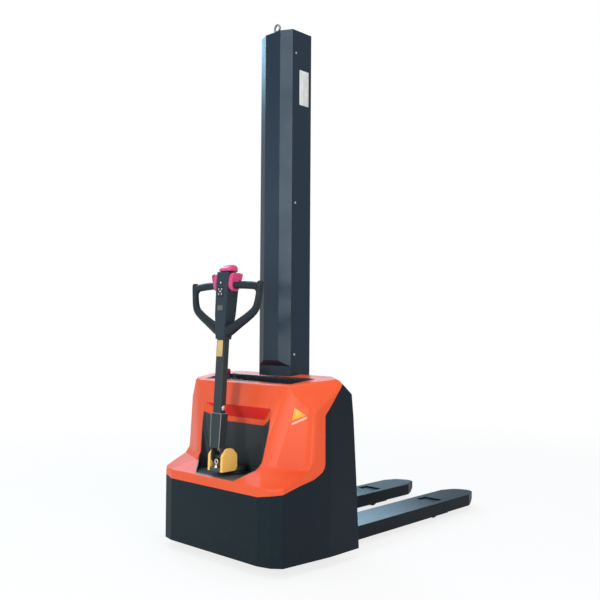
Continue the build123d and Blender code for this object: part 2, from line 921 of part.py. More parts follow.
def load_roller():
    near = fork_centre - load_roller_width / 2
    far = fork_centre + load_roller_width / 2
    wheel = rod_x(load_y, load_roller_radius, load_roller_radius, near, far)
    wheel = fillet(wheel.edges().filter_by(GeomType.CIRCLE), leg_gap)
    return wheel - rod_x(load_y, load_roller_radius, load_axle_radius + running, near, far)


def load_roller_axles():
    axle = rod_x(load_y, load_roller_radius, load_axle_radius, leg_inner, leg_outer)
    return Compound(children=[axle, mirrored(axle)])


def chassis_side():
    web = block(web_inner, web_outer, front + skirt_plate, plate_y, web_foot, deck_low)
    shelf = block(web_outer, half_width - shelf_inset, front + shelf_front_back, plate_y,
                  shelf_low, shelf_top)
    shelf = shelf - rod_z(castor_x, castor_y, castor_pin_radius + running, shelf_low, shelf_top)
    plate = block(mast_half + rear_plate_gap, half_width - skirt_plate, plate_y, rear_y,
                  floor_gap, rear_plate_top)
    plate = rear_corner(plate, 1, cover_wall + rear_plate_gap)
    return web + shelf + plate


def drive_deck():
    start = front + skirt_plate
    deck = block(-web_outer, web_outer, start, start + deck_length, deck_low, deck_top)
    return deck - rod_z(0, steer_y, bearing_radius + bearing_seat_gap, deck_low, deck_top)


def steering_bearing():
    ring = rod_z(0, steer_y, bearing_radius, deck_low - bearing_drop, deck_top)
    ring = ring + rod_z(0, steer_y, bearing_radius + bearing_lip, deck_top, flange_top)
    return ring - rod_z(0, steer_y, steer_shaft_radius + running, deck_low - bearing_drop, flange_top)


def battery():
    x0 = web_outer + battery_gap
    case = block(x0, x0 + battery_width, plate_y - battery_length, plate_y, shelf_top, battery_top)
    return fillet(case.edges().filter_by(Axis.Z), leg_gap)


def hydraulic_tank():
    x1 = half_width - tank_inset
    tank = block(x1 - tank_width, x1, plate_y - tank_length, plate_y, pack_low, pack_low + tank_height)
    return fillet(tank.faces().sort_by(Axis.Y)[0].edges(), head_corner)


def pump_motor():
    x = half_width - tank_inset - tank_width - pump_gap - pump_radius
    y = plate_y - pump_radius - pump_gap
    body = rod_z(x, y, pump_radius, pack_low, pack_low + pump_height)
    return body + block(x - pump_foot / 2, x + pump_foot / 2, y, plate_y, pack_low, pack_low + pump_foot)


def motor_controller():
    x0 = -half_width + tank_inset
    return block(x0, x0 + controller_width, plate_y - controller_length, plate_y,
                 pack_low, pack_low + controller_height)


def castor_fork():
    wheel_y = castor_y + castor_trail
    inner = castor_width / 2 + castor_cheek_gap
    body = rod_z(castor_x, castor_y, castor_crown_radius, crown_low, crown_low + castor_crown)
    body = body + rod_z(castor_x, castor_y, castor_pin_radius, crown_low, shelf_top - castor_top_gap)
    cheek = [
        (castor_y - castor_crown_radius / 2, crown_low + castor_crown),
        (castor_y + castor_crown_radius / 2, crown_low + castor_crown),
        (wheel_y + 2 * castor_axle_radius, castor_radius),
        (wheel_y, castor_radius - 2 * castor_axle_radius),
        (wheel_y - 2 * castor_axle_radius, castor_radius),
    ]
    for side in (-1, 1):
        x0, x1 = sorted((castor_x + side * inner, castor_x + side * (inner + castor_cheek)))
        body = body + across(cheek, x0, x1)
    return body + rod_x(wheel_y, castor_radius, castor_axle_radius, castor_x - inner, castor_x + inner)


def castor_wheel():
    near = castor_x - castor_width / 2
    far = castor_x + castor_width / 2
    wheel_y = castor_y + castor_trail
    wheel = rod_x(wheel_y, castor_radius, castor_radius, near, far)
    wheel = fillet(wheel.edges().filter_by(GeomType.CIRCLE), castor_cheek)
    return wheel - rod_x(wheel_y, castor_radius, castor_axle_radius + running, near, far)


# Drive unit

def drive_yoke():
    yoke = rod_z(0, steer_y, yoke_crown_radius, yoke_low, yoke_top)
    yoke = yoke + rod_z(0, steer_y, steer_shaft_radius, yoke_top, shaft_top)
    for side in (-1, 1):
        x0, x1 = sorted((side * yoke_inner, side * yoke_outer))
        yoke = yoke + block(x0, x1, steer_y - yoke_cheek_half, steer_y + yoke_cheek_half,
                            drive_radius, yoke_low)
        yoke = yoke + rod_x(steer_y, drive_radius, yoke_cheek_half, x0, x1)
    return yoke - rod_x(steer_y, drive_radius, drive_axle_radius + running, -yoke_outer, yoke_outer)


def drive_wheel_hub():
    half = drive_width / 2
    reach = yoke_outer - yoke_side_gap
    hub = rod_x(steer_y, drive_radius, drive_hub_radius, -half + yoke_side_gap, half - yoke_side_gap)
    return hub + rod_x(steer_y, drive_radius, drive_axle_radius, -reach, reach)


def drive_tyre():
    half = drive_width / 2
    tyre = rod_x(steer_y, drive_radius, drive_radius, -half, half)
    tyre = fillet(tyre.edges().filter_by(GeomType.CIRCLE), leg_side)
    return tyre - rod_x(steer_y, drive_radius, drive_hub_radius, -half, half)


def drive_motor():
    motor = rod_x(steer_y, drive_radius, motor_radius, -yoke_outer - motor_length, -yoke_outer)
    return fillet(motor.faces().sort_by(Axis.X)[0].edges(), leg_side)


def drive_gearbox():
    box = rod_x(steer_y, drive_radius, gearbox_radius, yoke_outer, yoke_outer + motor_length)
    return fillet(box.faces().sort_by(Axis.X)[-1].edges(), yoke_cheek)


# Tiller

def ear(x0, x1):
    corners = [(hinge_y + back, tiller_hinge_height + up) for back, up in ear_outline]
    corners = corners + [(hinge_y - ear_front, foot_low), (hinge_y + ear_rear, foot_low)]
    face = Polygon(*corners)
    face = fillet([v for v in face.vertices() if v.Y > foot_top], ear_round)
    return extrude(Plane.YZ.offset(x0) * face, amount=x1 - x0, dir=(1, 0, 0))


def tiller_base():
    base = rod_z(0, steer_y, stem_radius, shaft_top, foot_top)
    base = base + block(-ear_outer, ear_outer, hinge_y - ear_front, steer_y, foot_low, foot_top)
    base = base + ear(ear_inner, ear_outer) + ear(-ear_outer, -ear_inner)
    return base - rod_x(hinge_y, tiller_hinge_height, hinge_radius, -ear_outer, ear_outer)


def tiller_pin():
    return rod_x(hinge_y, tiller_hinge_height, hinge_radius, -ear_outer, ear_outer)


def arm_tube(inset):
    tube = block(-tube_half + inset, tube_half - inset, -arm_front + inset, tube_back - inset,
                 arm_box_high - arm_cap, tube_top)
    return fillet(tube.edges().filter_by(Axis.Z), 2 * arm_sheet - inset)


def tiller_arm():
    box = tapered(arm_box_half_low, arm_box_half_high, -arm_front, arm_back, arm_box_low, arm_box_high)
    room = tapered(arm_box_half_low - arm_sheet, arm_box_half_high - arm_sheet, -arm_front + arm_sheet,
                   arm_back, arm_box_low, arm_box_high - arm_cap)
    arm = box - room + arm_tube(0) - arm_tube(arm_sheet)
    for side in (-1, 1):
        x0, x1 = sorted((side * (lug_outer - lug_plate), side * lug_outer))
        arm = arm + rod_x(0, 0, lug_radius, x0, x1)
        arm = arm + block(x0, x1, -lug_radius, arm_back, 0, arm_box_low + lug_plate)
    arm = arm - rod_x(0, 0, hinge_radius + running, -lug_outer, lug_outer)
    return arm - rod_x(-tiller_bolt_forward, tiller_bolt_up, tiller_bolt_radius, -tube_half, tube_half)


def tiller_bolt():
    reach = tube_half + tiller_bolt_head
    bolt = rod_x(-tiller_bolt_forward, tiller_bolt_up, tiller_bolt_radius, -reach, reach)
    for x0, x1 in ((tube_half, reach), (-reach, -tube_half)):
        bolt = bolt + rod_x(-tiller_bolt_forward, tiller_bolt_up, tiller_bolt_head_radius, x0, x1)
    return bolt


def head_face(height):
    for (z0, _, y0, _), (z1, _, y1, _) in zip(head_sections, head_sections[1:]):
        if height <= z1:
            return y0 + (y1 - y0) * (height - z0) / (z1 - z0)
    return head_sections[-1][2]


def head_body():
    sections = []
    for height, half, y0, y1 in head_sections:
        outline = RectangleRounded(2 * half, y1 - y0, head_corner)
        sections = sections + [Pos(0, (y0 + y1) / 2, height) * outline]
    return loft(sections, ruled=True)


def handle_head(body):
    top = head_sections[-1][0]
    low = head_sections[0][0]
    half = tube_half + head_gap
    body = body - block(-half, half, -arm_front - head_gap, tube_back + head_gap, low, tube_top)
    swing = link_offset * math.sin(math.radians(throttle_swing)) + link_radius + link_gap
    high = grip_up + link_offset + link_radius + link_gap
    drop = grip_up + link_offset * math.cos(math.radians(throttle_swing)) - link_radius - link_gap
    body = body - block(-grip_half, grip_half, grip_y - swing, grip_y + swing, drop, high)
    middle = belly_middle()
    stem_room = top - belly_stem - belly_gap + belly_rest
    body = body - rod_z(0, middle, belly_stem_radius + running, stem_room, top)
    face = head_face(horn_up)
    body = body - rod_y(0, horn_up, horn_radius + horn_gap, face - horn_proud,
                        face + horn_depth + horn_proud)
    face = head_face(rocker_up)
    half = rocker_half_width + rocker_gap
    tall = rocker_half_height + rocker_end_gap
    body = body - block(-half, half, face - horn_proud, face + rocker_room + rocker_depth,
                        rocker_up - tall, rocker_up + tall)
    reach = rocker_half_width + rocker_pin_reach
    return body - rod_x(face + rocker_proud, rocker_up, rocker_pin_radius + running, -reach, reach)


def handle_grip(body):
    route = [
        (0, grip_up),
        (grip_straight, grip_up),
        (grip_half, grip_elbow_up),
        (grip_shoulder_half, grip_shoulder_up),
        (0, grip_foot_up),
    ]
    spine = FilletPolyline(*[(x, grip_y, z) for x, z in route], radius=grip_bend)
    profile = Plane(origin=(0, grip_y, grip_up), z_dir=(1, 0, 0)) * Circle(grip_radius)
    tube = sweep(profile, path=spine)
    return tube - body - block(-grip_half, 0, -grip_half, grip_half, 0, 2 * grip_up)


def belly_middle():
    return (head_sections[-1][2] + belly_front_inset + head_sections[-1][3] - belly_rear_inset) / 2


def belly_button():
    top, half, y0, y1 = head_sections[-1]
    low = top + belly_gap
    cap = block(-half + belly_inset, half - belly_inset, y0 + belly_front_inset, y1 - belly_rear_inset,
                low, low + belly_height)
    cap = fillet(cap.edges().filter_by(Axis.Z), head_corner)
    cap = fillet(cap.faces().sort_by(Axis.Z)[-1].edges(), belly_round)
    return cap + rod_z(0, belly_middle(), belly_stem_radius, top - belly_stem, low)


def throttle():
    x0 = head_sections[-1][1] + wing_gap
    x1 = x0 + wing_width
    link_z = grip_up + link_offset
    wing = rod_x(grip_y, grip_up, wing_hub_radius, x0, x1)
    wing = wing + block(x0, x1, grip_y - wing_pad_half, grip_y + wing_pad_half,
                        grip_up, grip_up + wing_pad_height)
    fin = block(x1, x1 + wing_fin, grip_y - wing_pad_half, grip_y + wing_pad_half,
                grip_up + wing_hub_radius - wing_pad_half, grip_up + wing_fin_height)
    wing = wing + fin - rod_x(grip_y, grip_up, grip_radius + wing_bore_gap, x0, x1 + wing_fin)
    wing = wing + rod_x(grip_y, link_z, link_radius, 0, x0)
    return wing + mirrored(wing)


def horn_button():
    face = head_face(horn_up)
    return rod_y(0, horn_up, horn_radius, face - horn_proud, face + horn_depth)


def lift_rocker():
    face = head_face(rocker_up)
    rocker = block(-rocker_half_width, rocker_half_width, face - rocker_proud, face + rocker_depth,
                   rocker_up - rocker_half_height, rocker_up + rocker_half_height)
    rocker = fillet(rocker.faces().sort_by(Axis.Y)[0].edges(), rocker_gap)
    reach = rocker_half_width + rocker_pin_reach
    return rocker + rod_x(face + rocker_proud, rocker_up, rocker_pin_radius, -reach, reach)


# Switches on the deck of the tray

def stop_button():
    low = switch_deck + stop_gap
    head = rod_z(switch_place, stop_y, stop_radius, low, low + stop_height)
    head = fillet(head.edges().filter_by(GeomType.CIRCLE), stop_round)
    stem_low = switch_deck - tray_wall - stop_stem_below
    return head + rod_z(switch_place, stop_y, stop_stem_radius, stem_low, low)


def key():
    top = switch_deck + key_rise
    barrel = rod_z(switch_place, key_y, key_radius, switch_deck - tray_wall - key_below, top)
    half = key_bow_width / 2
    thin = key_bow_thick / 2
    return barrel + block(switch_place - half, switch_place + half, key_y - thin, key_y + thin,
                          top, top + key_bow_height)


cover_form = cover_solid(0)
head_form = head_body()
nodes = {
    "drive_deck": drive_deck(),
    "front_skirt": front_skirt(),
    "upper_cover": upper_cover(cover_form),
    "steering_well_liner": steering_well_liner(cover_form),
    "storage_tray": storage_tray(cover_form),
    "mast_cover": mast_cover(),
    "mast_cover_screws": mast_cover_screws(),
    "mast_top_plate": mast_top_plate(),
    "mast_foot": mast_foot(),
    "lifting_eye": lifting_eye(),
    "lift_cylinder": lift_cylinder(),
    "lift_ram": lift_ram(),
    "chain_sheave": chain_sheave(),
    "lift_chain": lift_chain(),
    "carriage_frame": carriage_frame(),
    "load_roller_axles": load_roller_axles(),
    "steering_bearing": steering_bearing(),
    "hydraulic_tank": hydraulic_tank(),
    "pump_motor": pump_motor(),
    "motor_controller": motor_controller(),
    "drive_yoke": drive_yoke(),
    "drive_wheel_hub": drive_wheel_hub(),
    "drive_tyre": drive_tyre(),
    "drive_motor": drive_motor(),
    "drive_gearbox": drive_gearbox(),
    "tiller_base": tiller_base(),
    "tiller_pin": tiller_pin(),
    "tiller_arm": arm_frame * tiller_arm(),
    "tiller_bolt": arm_frame * tiller_bolt(),
    "handle_head": arm_frame * handle_head(head_form),
    "belly_button": arm_frame * belly_button(),
    "throttle": arm_frame * throttle(),
    "horn_button": arm_frame * horn_button(),
    "lift_rocker": arm_frame * lift_rocker(),
    "stop_button": stop_button(),
    "key": key(),
}
pairs = {
    "side_panel": side_panel(),
    "mast_rail": mast_rail(),
    "fork": fork(),
    "leg": leg(),
    "load_roller": load_roller(),
    "chassis_side": chassis_side(),
    "battery": battery(),
    "castor_fork": castor_fork(),
    "castor_wheel": castor_wheel(),
    "mast_roller_low": mast_roller(0),
    "mast_roller_high": mast_roller(1),
    "handle_grip": arm_frame * handle_grip(head_form),
}
for name, shape in pairs.items():
    nodes[name + "_right"] = shape
    nodes[name + "_left"] = mirrored(shape)

os.makedirs("parts", exist_ok=True)
for name, shape in nodes.items():
    export_step(shape, "parts/" + name + ".step")
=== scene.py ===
import bpy
import bmesh
import math
from mathutils import Matrix, Vector


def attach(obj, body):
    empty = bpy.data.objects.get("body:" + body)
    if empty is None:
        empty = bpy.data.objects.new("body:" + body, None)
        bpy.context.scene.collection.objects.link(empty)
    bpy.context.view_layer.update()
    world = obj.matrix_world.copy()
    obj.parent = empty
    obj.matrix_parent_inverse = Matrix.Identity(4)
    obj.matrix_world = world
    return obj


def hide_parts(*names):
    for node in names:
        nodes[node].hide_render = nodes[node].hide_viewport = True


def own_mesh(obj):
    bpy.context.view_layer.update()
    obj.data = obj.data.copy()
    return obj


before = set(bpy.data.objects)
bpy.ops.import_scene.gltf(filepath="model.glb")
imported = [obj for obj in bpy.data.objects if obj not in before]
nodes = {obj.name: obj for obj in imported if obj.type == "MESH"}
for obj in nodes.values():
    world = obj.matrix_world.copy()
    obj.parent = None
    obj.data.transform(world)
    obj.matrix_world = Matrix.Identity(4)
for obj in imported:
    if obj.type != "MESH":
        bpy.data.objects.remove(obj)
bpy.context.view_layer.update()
print("frame loaded:", len(nodes), "nodes")


# Sockets as values, so that shader maths reads as plain expressions
class Value:
    def __init__(self, tree, socket):
        self.tree = tree
        self.socket = socket

    def math(self, operation, first, second):
        node = self.tree.nodes.new("ShaderNodeMath")
        node.operation = operation
        for slot, item in zip(node.inputs, (first, second)):
            if isinstance(item, Value):
                self.tree.links.new(item.socket, slot)
            else:
                slot.default_value = item
        return Value(self.tree, node.outputs[0])

    def __add__(self, other):
        return self.math("ADD", self, other)

    def __radd__(self, other):
        return self.math("ADD", other, self)

    def __sub__(self, other):
        return self.math("SUBTRACT", self, other)

    def __rsub__(self, other):
        return self.math("SUBTRACT", other, self)

    def __mul__(self, other):
        return self.math("MULTIPLY", self, other)

    def __rmul__(self, other):
        return self.math("MULTIPLY", other, self)

    def __gt__(self, other):
        return self.math("GREATER_THAN", self, other)

    def __lt__(self, other):
        return self.math("LESS_THAN", self, other)

    def atMost(self, other):
        return self.math("MINIMUM", self, other)

    def atLeast(self, other):
        return self.math("MAXIMUM", self, other)


class Finish:
    def __init__(self, name):
        self.material = bpy.data.materials.new(name)
        self.material.use_nodes = True
        self.tree = self.material.node_tree
        self.shader = self.tree.nodes["Principled BSDF"]

    # any node: its type, its settings, then the values or links of its sockets
    def node(self, kind, settings=None, sockets=None, out=0):
        made = self.tree.nodes.new("ShaderNode" + kind)
        for key, item in (settings or {}).items():
            if key == "stops":
                ramp = made.color_ramp
                while len(ramp.elements) < len(item):
                    ramp.elements.new(0.5)
                for element, (place, colour) in zip(ramp.elements, item):
                    element.position = place
                    element.color = (*colour, 1)
            else:
                setattr(made, key, item)
        for key, item in (sockets or {}).items():
            self.plug(item, made.inputs[key])
        return Value(self.tree, made.outputs[out])

    def plug(self, item, slot):
        if isinstance(item, Value):
            self.tree.links.new(item.socket, slot)
        elif slot.type == "RGBA" and len(item) == 3:
            slot.default_value = (*item, 1)
        else:
            slot.default_value = item

    def place(self):
        return self.node("TexCoord", out="Object")

    def axis(self, name):
        return self.node("SeparateXYZ", sockets={"Vector": self.place()}, out="XYZ".index(name))

    def facing(self, name):
        normal = self.node("NewGeometry", out="Normal")
        return self.node("SeparateXYZ", sockets={"Vector": normal}, out="XYZ".index(name))

    def grain(self, scale, detail=2.0, stretch=(1, 1, 1), rough=0.5):
        spread = self.node("Mapping", sockets={"Vector": self.place(), "Scale": stretch})
        sockets = {"Vector": spread, "Scale": scale, "Detail": detail, "Roughness": rough}
        return self.node("TexNoise", sockets=sockets)

    def cells(self, scale, feature="F1", stretch=(1, 1, 1)):
        spread = self.node("Mapping", sockets={"Vector": self.place(), "Scale": stretch})
        return self.node("TexVoronoi", {"feature": feature}, {"Vector": spread, "Scale": scale})

    def band(self, value, low, high):
        sockets = {"Value": value, "From Min": low, "From Max": high}
        return self.node("MapRange", {"clamp": True}, sockets)

    # colour mix; the Mix node keeps its colour sockets behind those for numbers and vectors
    def tint(self, factor, first, second):
        made = self.tree.nodes.new("ShaderNodeMix")
        made.data_type = "RGBA"
        self.plug(factor, made.inputs[0])
        self.plug(first, made.inputs[6])
        self.plug(second, made.inputs[7])
        return Value(self.tree, made.outputs[2])

    def bump(self, height, strength, distance=0.001):
        return self.node("Bump", sockets={"Height": height, "Strength": strength, "Distance": distance})

    def set(self, **sockets):
        names = {"base": "Base Color", "rough": "Roughness", "metal": "Metallic", "coat": "Coat Weight",
                 "coatRough": "Coat Roughness", "normal": "Normal", "level": "Specular IOR Level"}
        for key, item in sockets.items():
            self.plug(item, self.shader.inputs[names[key]])
        return self.material


# Finishes, one dictionary of looks for each family
# Scales are in cells per metre; a band is where a grain starts and ends to show; a bump is strength and depth
paintLooks = {
    "skirtBlack": dict(base=(0.0082, 0.0165, 0.0215), pale=(0.019, 0.027, 0.032),
                       rough=0.42, peel=0.10, level=0.10),
    # the side panels take a darker copy of the skirt black, painted shade for faces turned from the front
    # lamps
    "panelShadeBlack": dict(base=(0.0090, 0.0140, 0.0215), pale=(0.019, 0.025, 0.032),
                       rough=0.42, peel=0.10, level=0.10),
    "mastCharcoal": dict(base=(0.0068, 0.0205, 0.0385), pale=(0.019, 0.033, 0.052),
                         rough=0.32, peel=0.06, level=0.29),
    "tillerBlack": dict(base=(0.0300, 0.0360, 0.0400), pale=(0.045, 0.051, 0.054),
                        rough=0.44, peel=0.08, level=0.20),
    "driveCasting": dict(base=(0.024, 0.026, 0.030), pale=(0.060, 0.056, 0.052),
                         rough=0.62, peel=0.30, level=0.30),
    # edgePale: the pale grey of the arm's edge strips, which are painted highlights, and of its weld
    "edgePale": dict(base=(0.24, 0.27, 0.29), pale=(0.34, 0.36, 0.37), rough=0.42, peel=0.06, level=0.40),
    "padGrey": dict(base=(0.105, 0.125, 0.105), pale=(0.17, 0.19, 0.165), rough=0.55, peel=0.20, level=0.30),
}
paintWear = dict(cloud=7, cloudShine=0.16, peelFine=900, peelWide=240, peelMix=(0.8, 0.5), peelDepth=0.0006,
                 dust=38, dustBand=(0.52, 0.80), floorBand=(0.30, 0.02), dustAll=0.12, dustLow=0.55,
                 dustShine=0.14)


def paintFinish(name):
    look = paintLooks[name]
    wear = paintWear
    finish = Finish(name)
    cloud = finish.grain(wear["cloud"], 4)
    fine = finish.grain(wear["peelFine"], 1)
    dust = finish.band(finish.grain(wear["dust"], 5, rough=0.65), *wear["dustBand"])
    low = finish.band(finish.axis("Z"), *wear["floorBand"])  # scuffs and dust gather near the floor
    mark = (dust * (wear["dustAll"] + low * wear["dustLow"])).atMost(1.0)
    colour = finish.tint(mark, look["base"], look["pale"])
    rough = look["rough"] + (cloud - 0.5) * wear["cloudShine"] + mark * wear["dustShine"]
    fineShare, wideShare = wear["peelMix"]
    peel = fine * fineShare + finish.grain(wear["peelWide"], 2) * wideShare
    normal = finish.bump(peel, look["peel"], wear["peelDepth"])
    return finish.set(base=colour, rough=rough, normal=normal, level=look["level"])


# ears in amber, the plate between them and the stem below in grey
earLook = dict(amber=(0.98, 0.560, 0.140), worn=(0.98, 0.64, 0.24), grey=(0.050, 0.058, 0.052), inner=0.0338,
               stemTop=0.374, cloud=9, cloudShine=0.14, chip=70, chipBand=(0.60, 0.80), chipShare=0.5,
               chipShine=0.1, skin=600, bump=(0.06, 0.0006), rough=0.42, level=0.25)


def earFinish():
    look = earLook
    finish = Finish("earAmber")
    cloud = finish.grain(look["cloud"], 4)
    chip = finish.band(finish.grain(look["chip"], 5, rough=0.7), *look["chipBand"])
    across = finish.axis("X")
    across = across.math("ABSOLUTE", across, 0.0)
    low = (across < look["inner"]).atLeast(finish.axis("Z") < look["stemTop"])
    colour = finish.tint(chip * look["chipShare"], look["amber"], look["worn"])
    colour = finish.tint(low, colour, look["grey"])
    normal = finish.bump(finish.grain(look["skin"], 2), *look["bump"])
    rough = look["rough"] + (cloud - 0.5) * look["cloudShine"] + chip * look["chipShine"]
    return finish.set(base=colour, rough=rough, normal=normal, level=look["level"])


# the deeper red for faces that point down is painted shade
coverLook = dict(base=(0.800, 0.098, 0.030), deep=(0.760, 0.084, 0.025), pale=(0.82, 0.18, 0.09),
                 paintedShadeRed=(0.86, 0.036, 0.026), paintedShadeBand=(-0.15, -0.55), rough=0.34, level=0.22,
                 cloud=3.2, cloudBand=(0.3, 0.7), cloudShine=0.10, scuff=55, scuffStretch=(1, 1, 0.25),
                 scuffBand=(0.62, 0.78), scuffAll=0.05, scuffLow=0.20, scuffShine=0.2, lowBand=(0.45, 0.31),
                 skin=420, bump=(0.05, 0.0007))


def coverFinish():
    look = coverLook
    finish = Finish("coverOrange")
    cloud = finish.grain(look["cloud"], 3)
    scuff = finish.grain(look["scuff"], 6, stretch=look["scuffStretch"], rough=0.7)
    scuff = finish.band(scuff, *look["scuffBand"])
    low = finish.band(finish.axis("Z"), *look["lowBand"])
    mark = (scuff * (look["scuffAll"] + low * look["scuffLow"])).atMost(1.0)
    colour = finish.tint(finish.band(cloud, *look["cloudBand"]), look["deep"], look["base"])
    colour = finish.tint(mark, colour, look["pale"])
    under = finish.band(finish.facing("Z"), *look["paintedShadeBand"])  # painted shade: faces that point down, such as the roof of the well, take a deeper red for the red light bounced inside it
    colour = finish.tint(under, colour, look["paintedShadeRed"])
    rough = look["rough"] + (cloud - 0.5) * look["cloudShine"] + mark * look["scuffShine"]
    normal = finish.bump(finish.grain(look["skin"], 2), *look["bump"])
    return finish.set(base=colour, rough=rough, normal=normal, level=look["level"])


# moulded plastics: skin is the scale of the moulded grain, depth how strongly it shows
plasticLooks = {
    "trayBlack": dict(base=(0.0210, 0.0185, 0.0220), rough=0.20, skin=520, depth=0.04, level=0.5),
    "headBlack": dict(base=(0.0210, 0.0325, 0.0440), rough=0.45, skin=760, depth=0.12, level=0.20),
    "bootRubber": dict(base=(0.0140, 0.0155, 0.0165), rough=0.60, skin=420, depth=0.20, level=0.4),
    "caseGrey": dict(base=(0.055, 0.056, 0.060), rough=0.55, skin=300, depth=0.25, level=0.4),
    "tankWhite": dict(base=(0.52, 0.51, 0.47), rough=0.45, skin=400, depth=0.12, level=0.4,
                      pale=(0.42, 0.40, 0.34)),
    "controlRed": dict(base=(0.600, 0.058, 0.180), rough=0.34, skin=900, depth=0.03, level=0.36,
                       pale=(0.64, 0.10, 0.24)),
    # a darker copy of the control red for the fin ribs, painted shade along them
    "ribShadeRed": dict(base=(0.300, 0.016, 0.060), rough=0.40, skin=900, depth=0.03, level=0.25,
                   pale=(0.34, 0.03, 0.08)),
    # the stop button's red is darkened, painted shade for where it sits behind the arm
    "stopShadeRed": dict(base=(0.330, 0.014, 0.050), rough=0.34, skin=900, depth=0.03, level=0.25,
                       pale=(0.38, 0.03, 0.07)),
    "controlDark": dict(base=(0.030, 0.031, 0.034), rough=0.36, skin=900, depth=0.06, level=0.4),
}
plasticWear = dict(cloud=9, cloudShine=0.14, rub=60, rubBand=(0.58, 0.80), rubShare=0.30, rubShine=0.08,
                   paler=(1.5, 0.004), skinDepth=0.0008)


def plasticFinish(name):
    look = plasticLooks[name]
    wear = plasticWear
    finish = Finish(name)
    cloud = finish.grain(wear["cloud"], 3)
    skin = finish.cells(look["skin"])
    rub = finish.band(finish.grain(wear["rub"], 5, rough=0.7), *wear["rubBand"])
    gain, lift = wear["paler"]
    pale = look.get("pale") or tuple(min(1.0, shade * gain + lift) for shade in look["base"])
    colour = finish.tint(rub * wear["rubShare"], look["base"], pale)
    rough = look["rough"] + (cloud - 0.5) * wear["cloudShine"] + rub * wear["rubShine"]
    normal = finish.bump(skin, look["depth"], wear["skinDepth"])
    return finish.set(base=colour, rough=rough, normal=normal, level=look["level"])


# dust: paler, bluer colour for faces that point up, part dust and part painted highlight
linerLook = dict(base=(0.0290, 0.0335, 0.0360), dust=(0.095, 0.112, 0.128), rough=0.44, level=0.25,
                 cloud=9, cloudShine=0.14, film=26, filmBand=(0.25, 0.75), filmShare=0.55, dustAll=0.45,
                 upBand=(0.55, 0.95), upShine=0.08, skin=520, bump=(0.10, 0.0008))


def linerFinish():
    look = linerLook
    finish = Finish("linerBlack")
    cloud = finish.grain(look["cloud"], 3)
    film = finish.band(finish.grain(look["film"], 5, rough=0.65), *look["filmBand"])
    up = finish.band(finish.facing("Z"), *look["upBand"])  # faces that point up turn paler and bluer: partly dust, partly a painted highlight from the lamp above
    colour = finish.tint(up * (look["dustAll"] + film * look["filmShare"]), look["base"], look["dust"])
    rough = look["rough"] + (cloud - 0.5) * look["cloudShine"] - up * look["upShine"]
    normal = finish.bump(finish.cells(look["skin"]), *look["bump"])
    return finish.set(base=colour, rough=rough, normal=normal, level=look["level"])


rubberLook = dict(base=(0.0120, 0.0180, 0.0225), pale=(0.020, 0.027, 0.033), rough=0.44, level=0.19,
                  dots=330, bump=(0.14, 0.0008), cloud=14, cloudBand=(0.35, 0.75), cloudShine=0.16)


def rubberFinish():
    look = rubberLook
    finish = Finish("gripRubber")
    dots = finish.cells(look["dots"], "SMOOTH_F1")
    cloud = finish.grain(look["cloud"], 4)
    colour = finish.tint(finish.band(cloud, *look["cloudBand"]), look["base"], look["pale"])
    rough = look["rough"] + (cloud - 0.5) * look["cloudShine"]
    normal = finish.bump(dots, *look["bump"])
    return finish.set(base=colour, rough=rough, normal=normal, level=look["level"])


treadLooks = {
    "driveTread": dict(base=(0.060, 0.048, 0.036), pale=(0.13, 0.11, 0.085)),
    "rollerTread": dict(base=(0.035, 0.034, 0.033), pale=(0.085, 0.080, 0.072)),
}
treadWear = dict(cloud=24, dirtBand=(0.42, 0.72), dirtShine=0.18, ring=160, ringStretch=(6, 0.4, 0.4),
                 bump=(0.22, 0.001), rough=0.58)


def treadFinish(name):
    look = treadLooks[name]
    wear = treadWear
    finish = Finish(name)
    cloud = finish.grain(wear["cloud"], 5)
    ring = finish.grain(wear["ring"], 2, stretch=wear["ringStretch"])
    dirt = finish.band(cloud, *wear["dirtBand"])
    colour = finish.tint(dirt, look["base"], look["pale"])
    rough = wear["rough"] + dirt * wear["dirtShine"]
    return finish.set(base=colour, rough=rough, normal=finish.bump(ring, *wear["bump"]))


# bare metals, brushed along the stretch
metalLooks = {
    "zincSilver": dict(base=(0.70, 0.70, 0.68), rough=0.30, stretch=(1, 1, 1)),
    "eyeSteel": dict(base=(0.30, 0.31, 0.32), rough=0.38, stretch=(1, 1, 1)),
    "turnedSteel": dict(base=(0.52, 0.52, 0.51), rough=0.34, stretch=(8, 1, 1)),
    "rodChrome": dict(base=(0.80, 0.80, 0.80), rough=0.12, stretch=(1, 1, 0.05)),
    "motorAlloy": dict(base=(0.58, 0.58, 0.57), rough=0.42, stretch=(1, 1, 1)),
}
metalWear = dict(stain=(0.25, 0.22, 0.19), brush=260, brushShine=0.20, cloud=30, cloudShine=0.12, spot=90,
                 spotBand=(0.60, 0.82), spotShare=0.45, spotShine=0.2, spotDull=0.3, bump=(0.12, 0.0005))


def metalFinish(name):
    look = metalLooks[name]
    wear = metalWear
    finish = Finish(name)
    brushed = finish.grain(wear["brush"], 3, look["stretch"])
    cloud = finish.grain(wear["cloud"], 4)
    spot = finish.band(finish.grain(wear["spot"], 5, rough=0.7), *wear["spotBand"])
    colour = finish.tint(spot * wear["spotShare"], look["base"], wear["stain"])
    rough = (look["rough"] + (brushed - 0.5) * wear["brushShine"] + (cloud - 0.5) * wear["cloudShine"]
             + spot * wear["spotShine"])
    normal = finish.bump(brushed, *wear["bump"])
    return finish.set(base=colour, rough=rough, metal=1.0 - spot * wear["spotDull"], normal=normal)


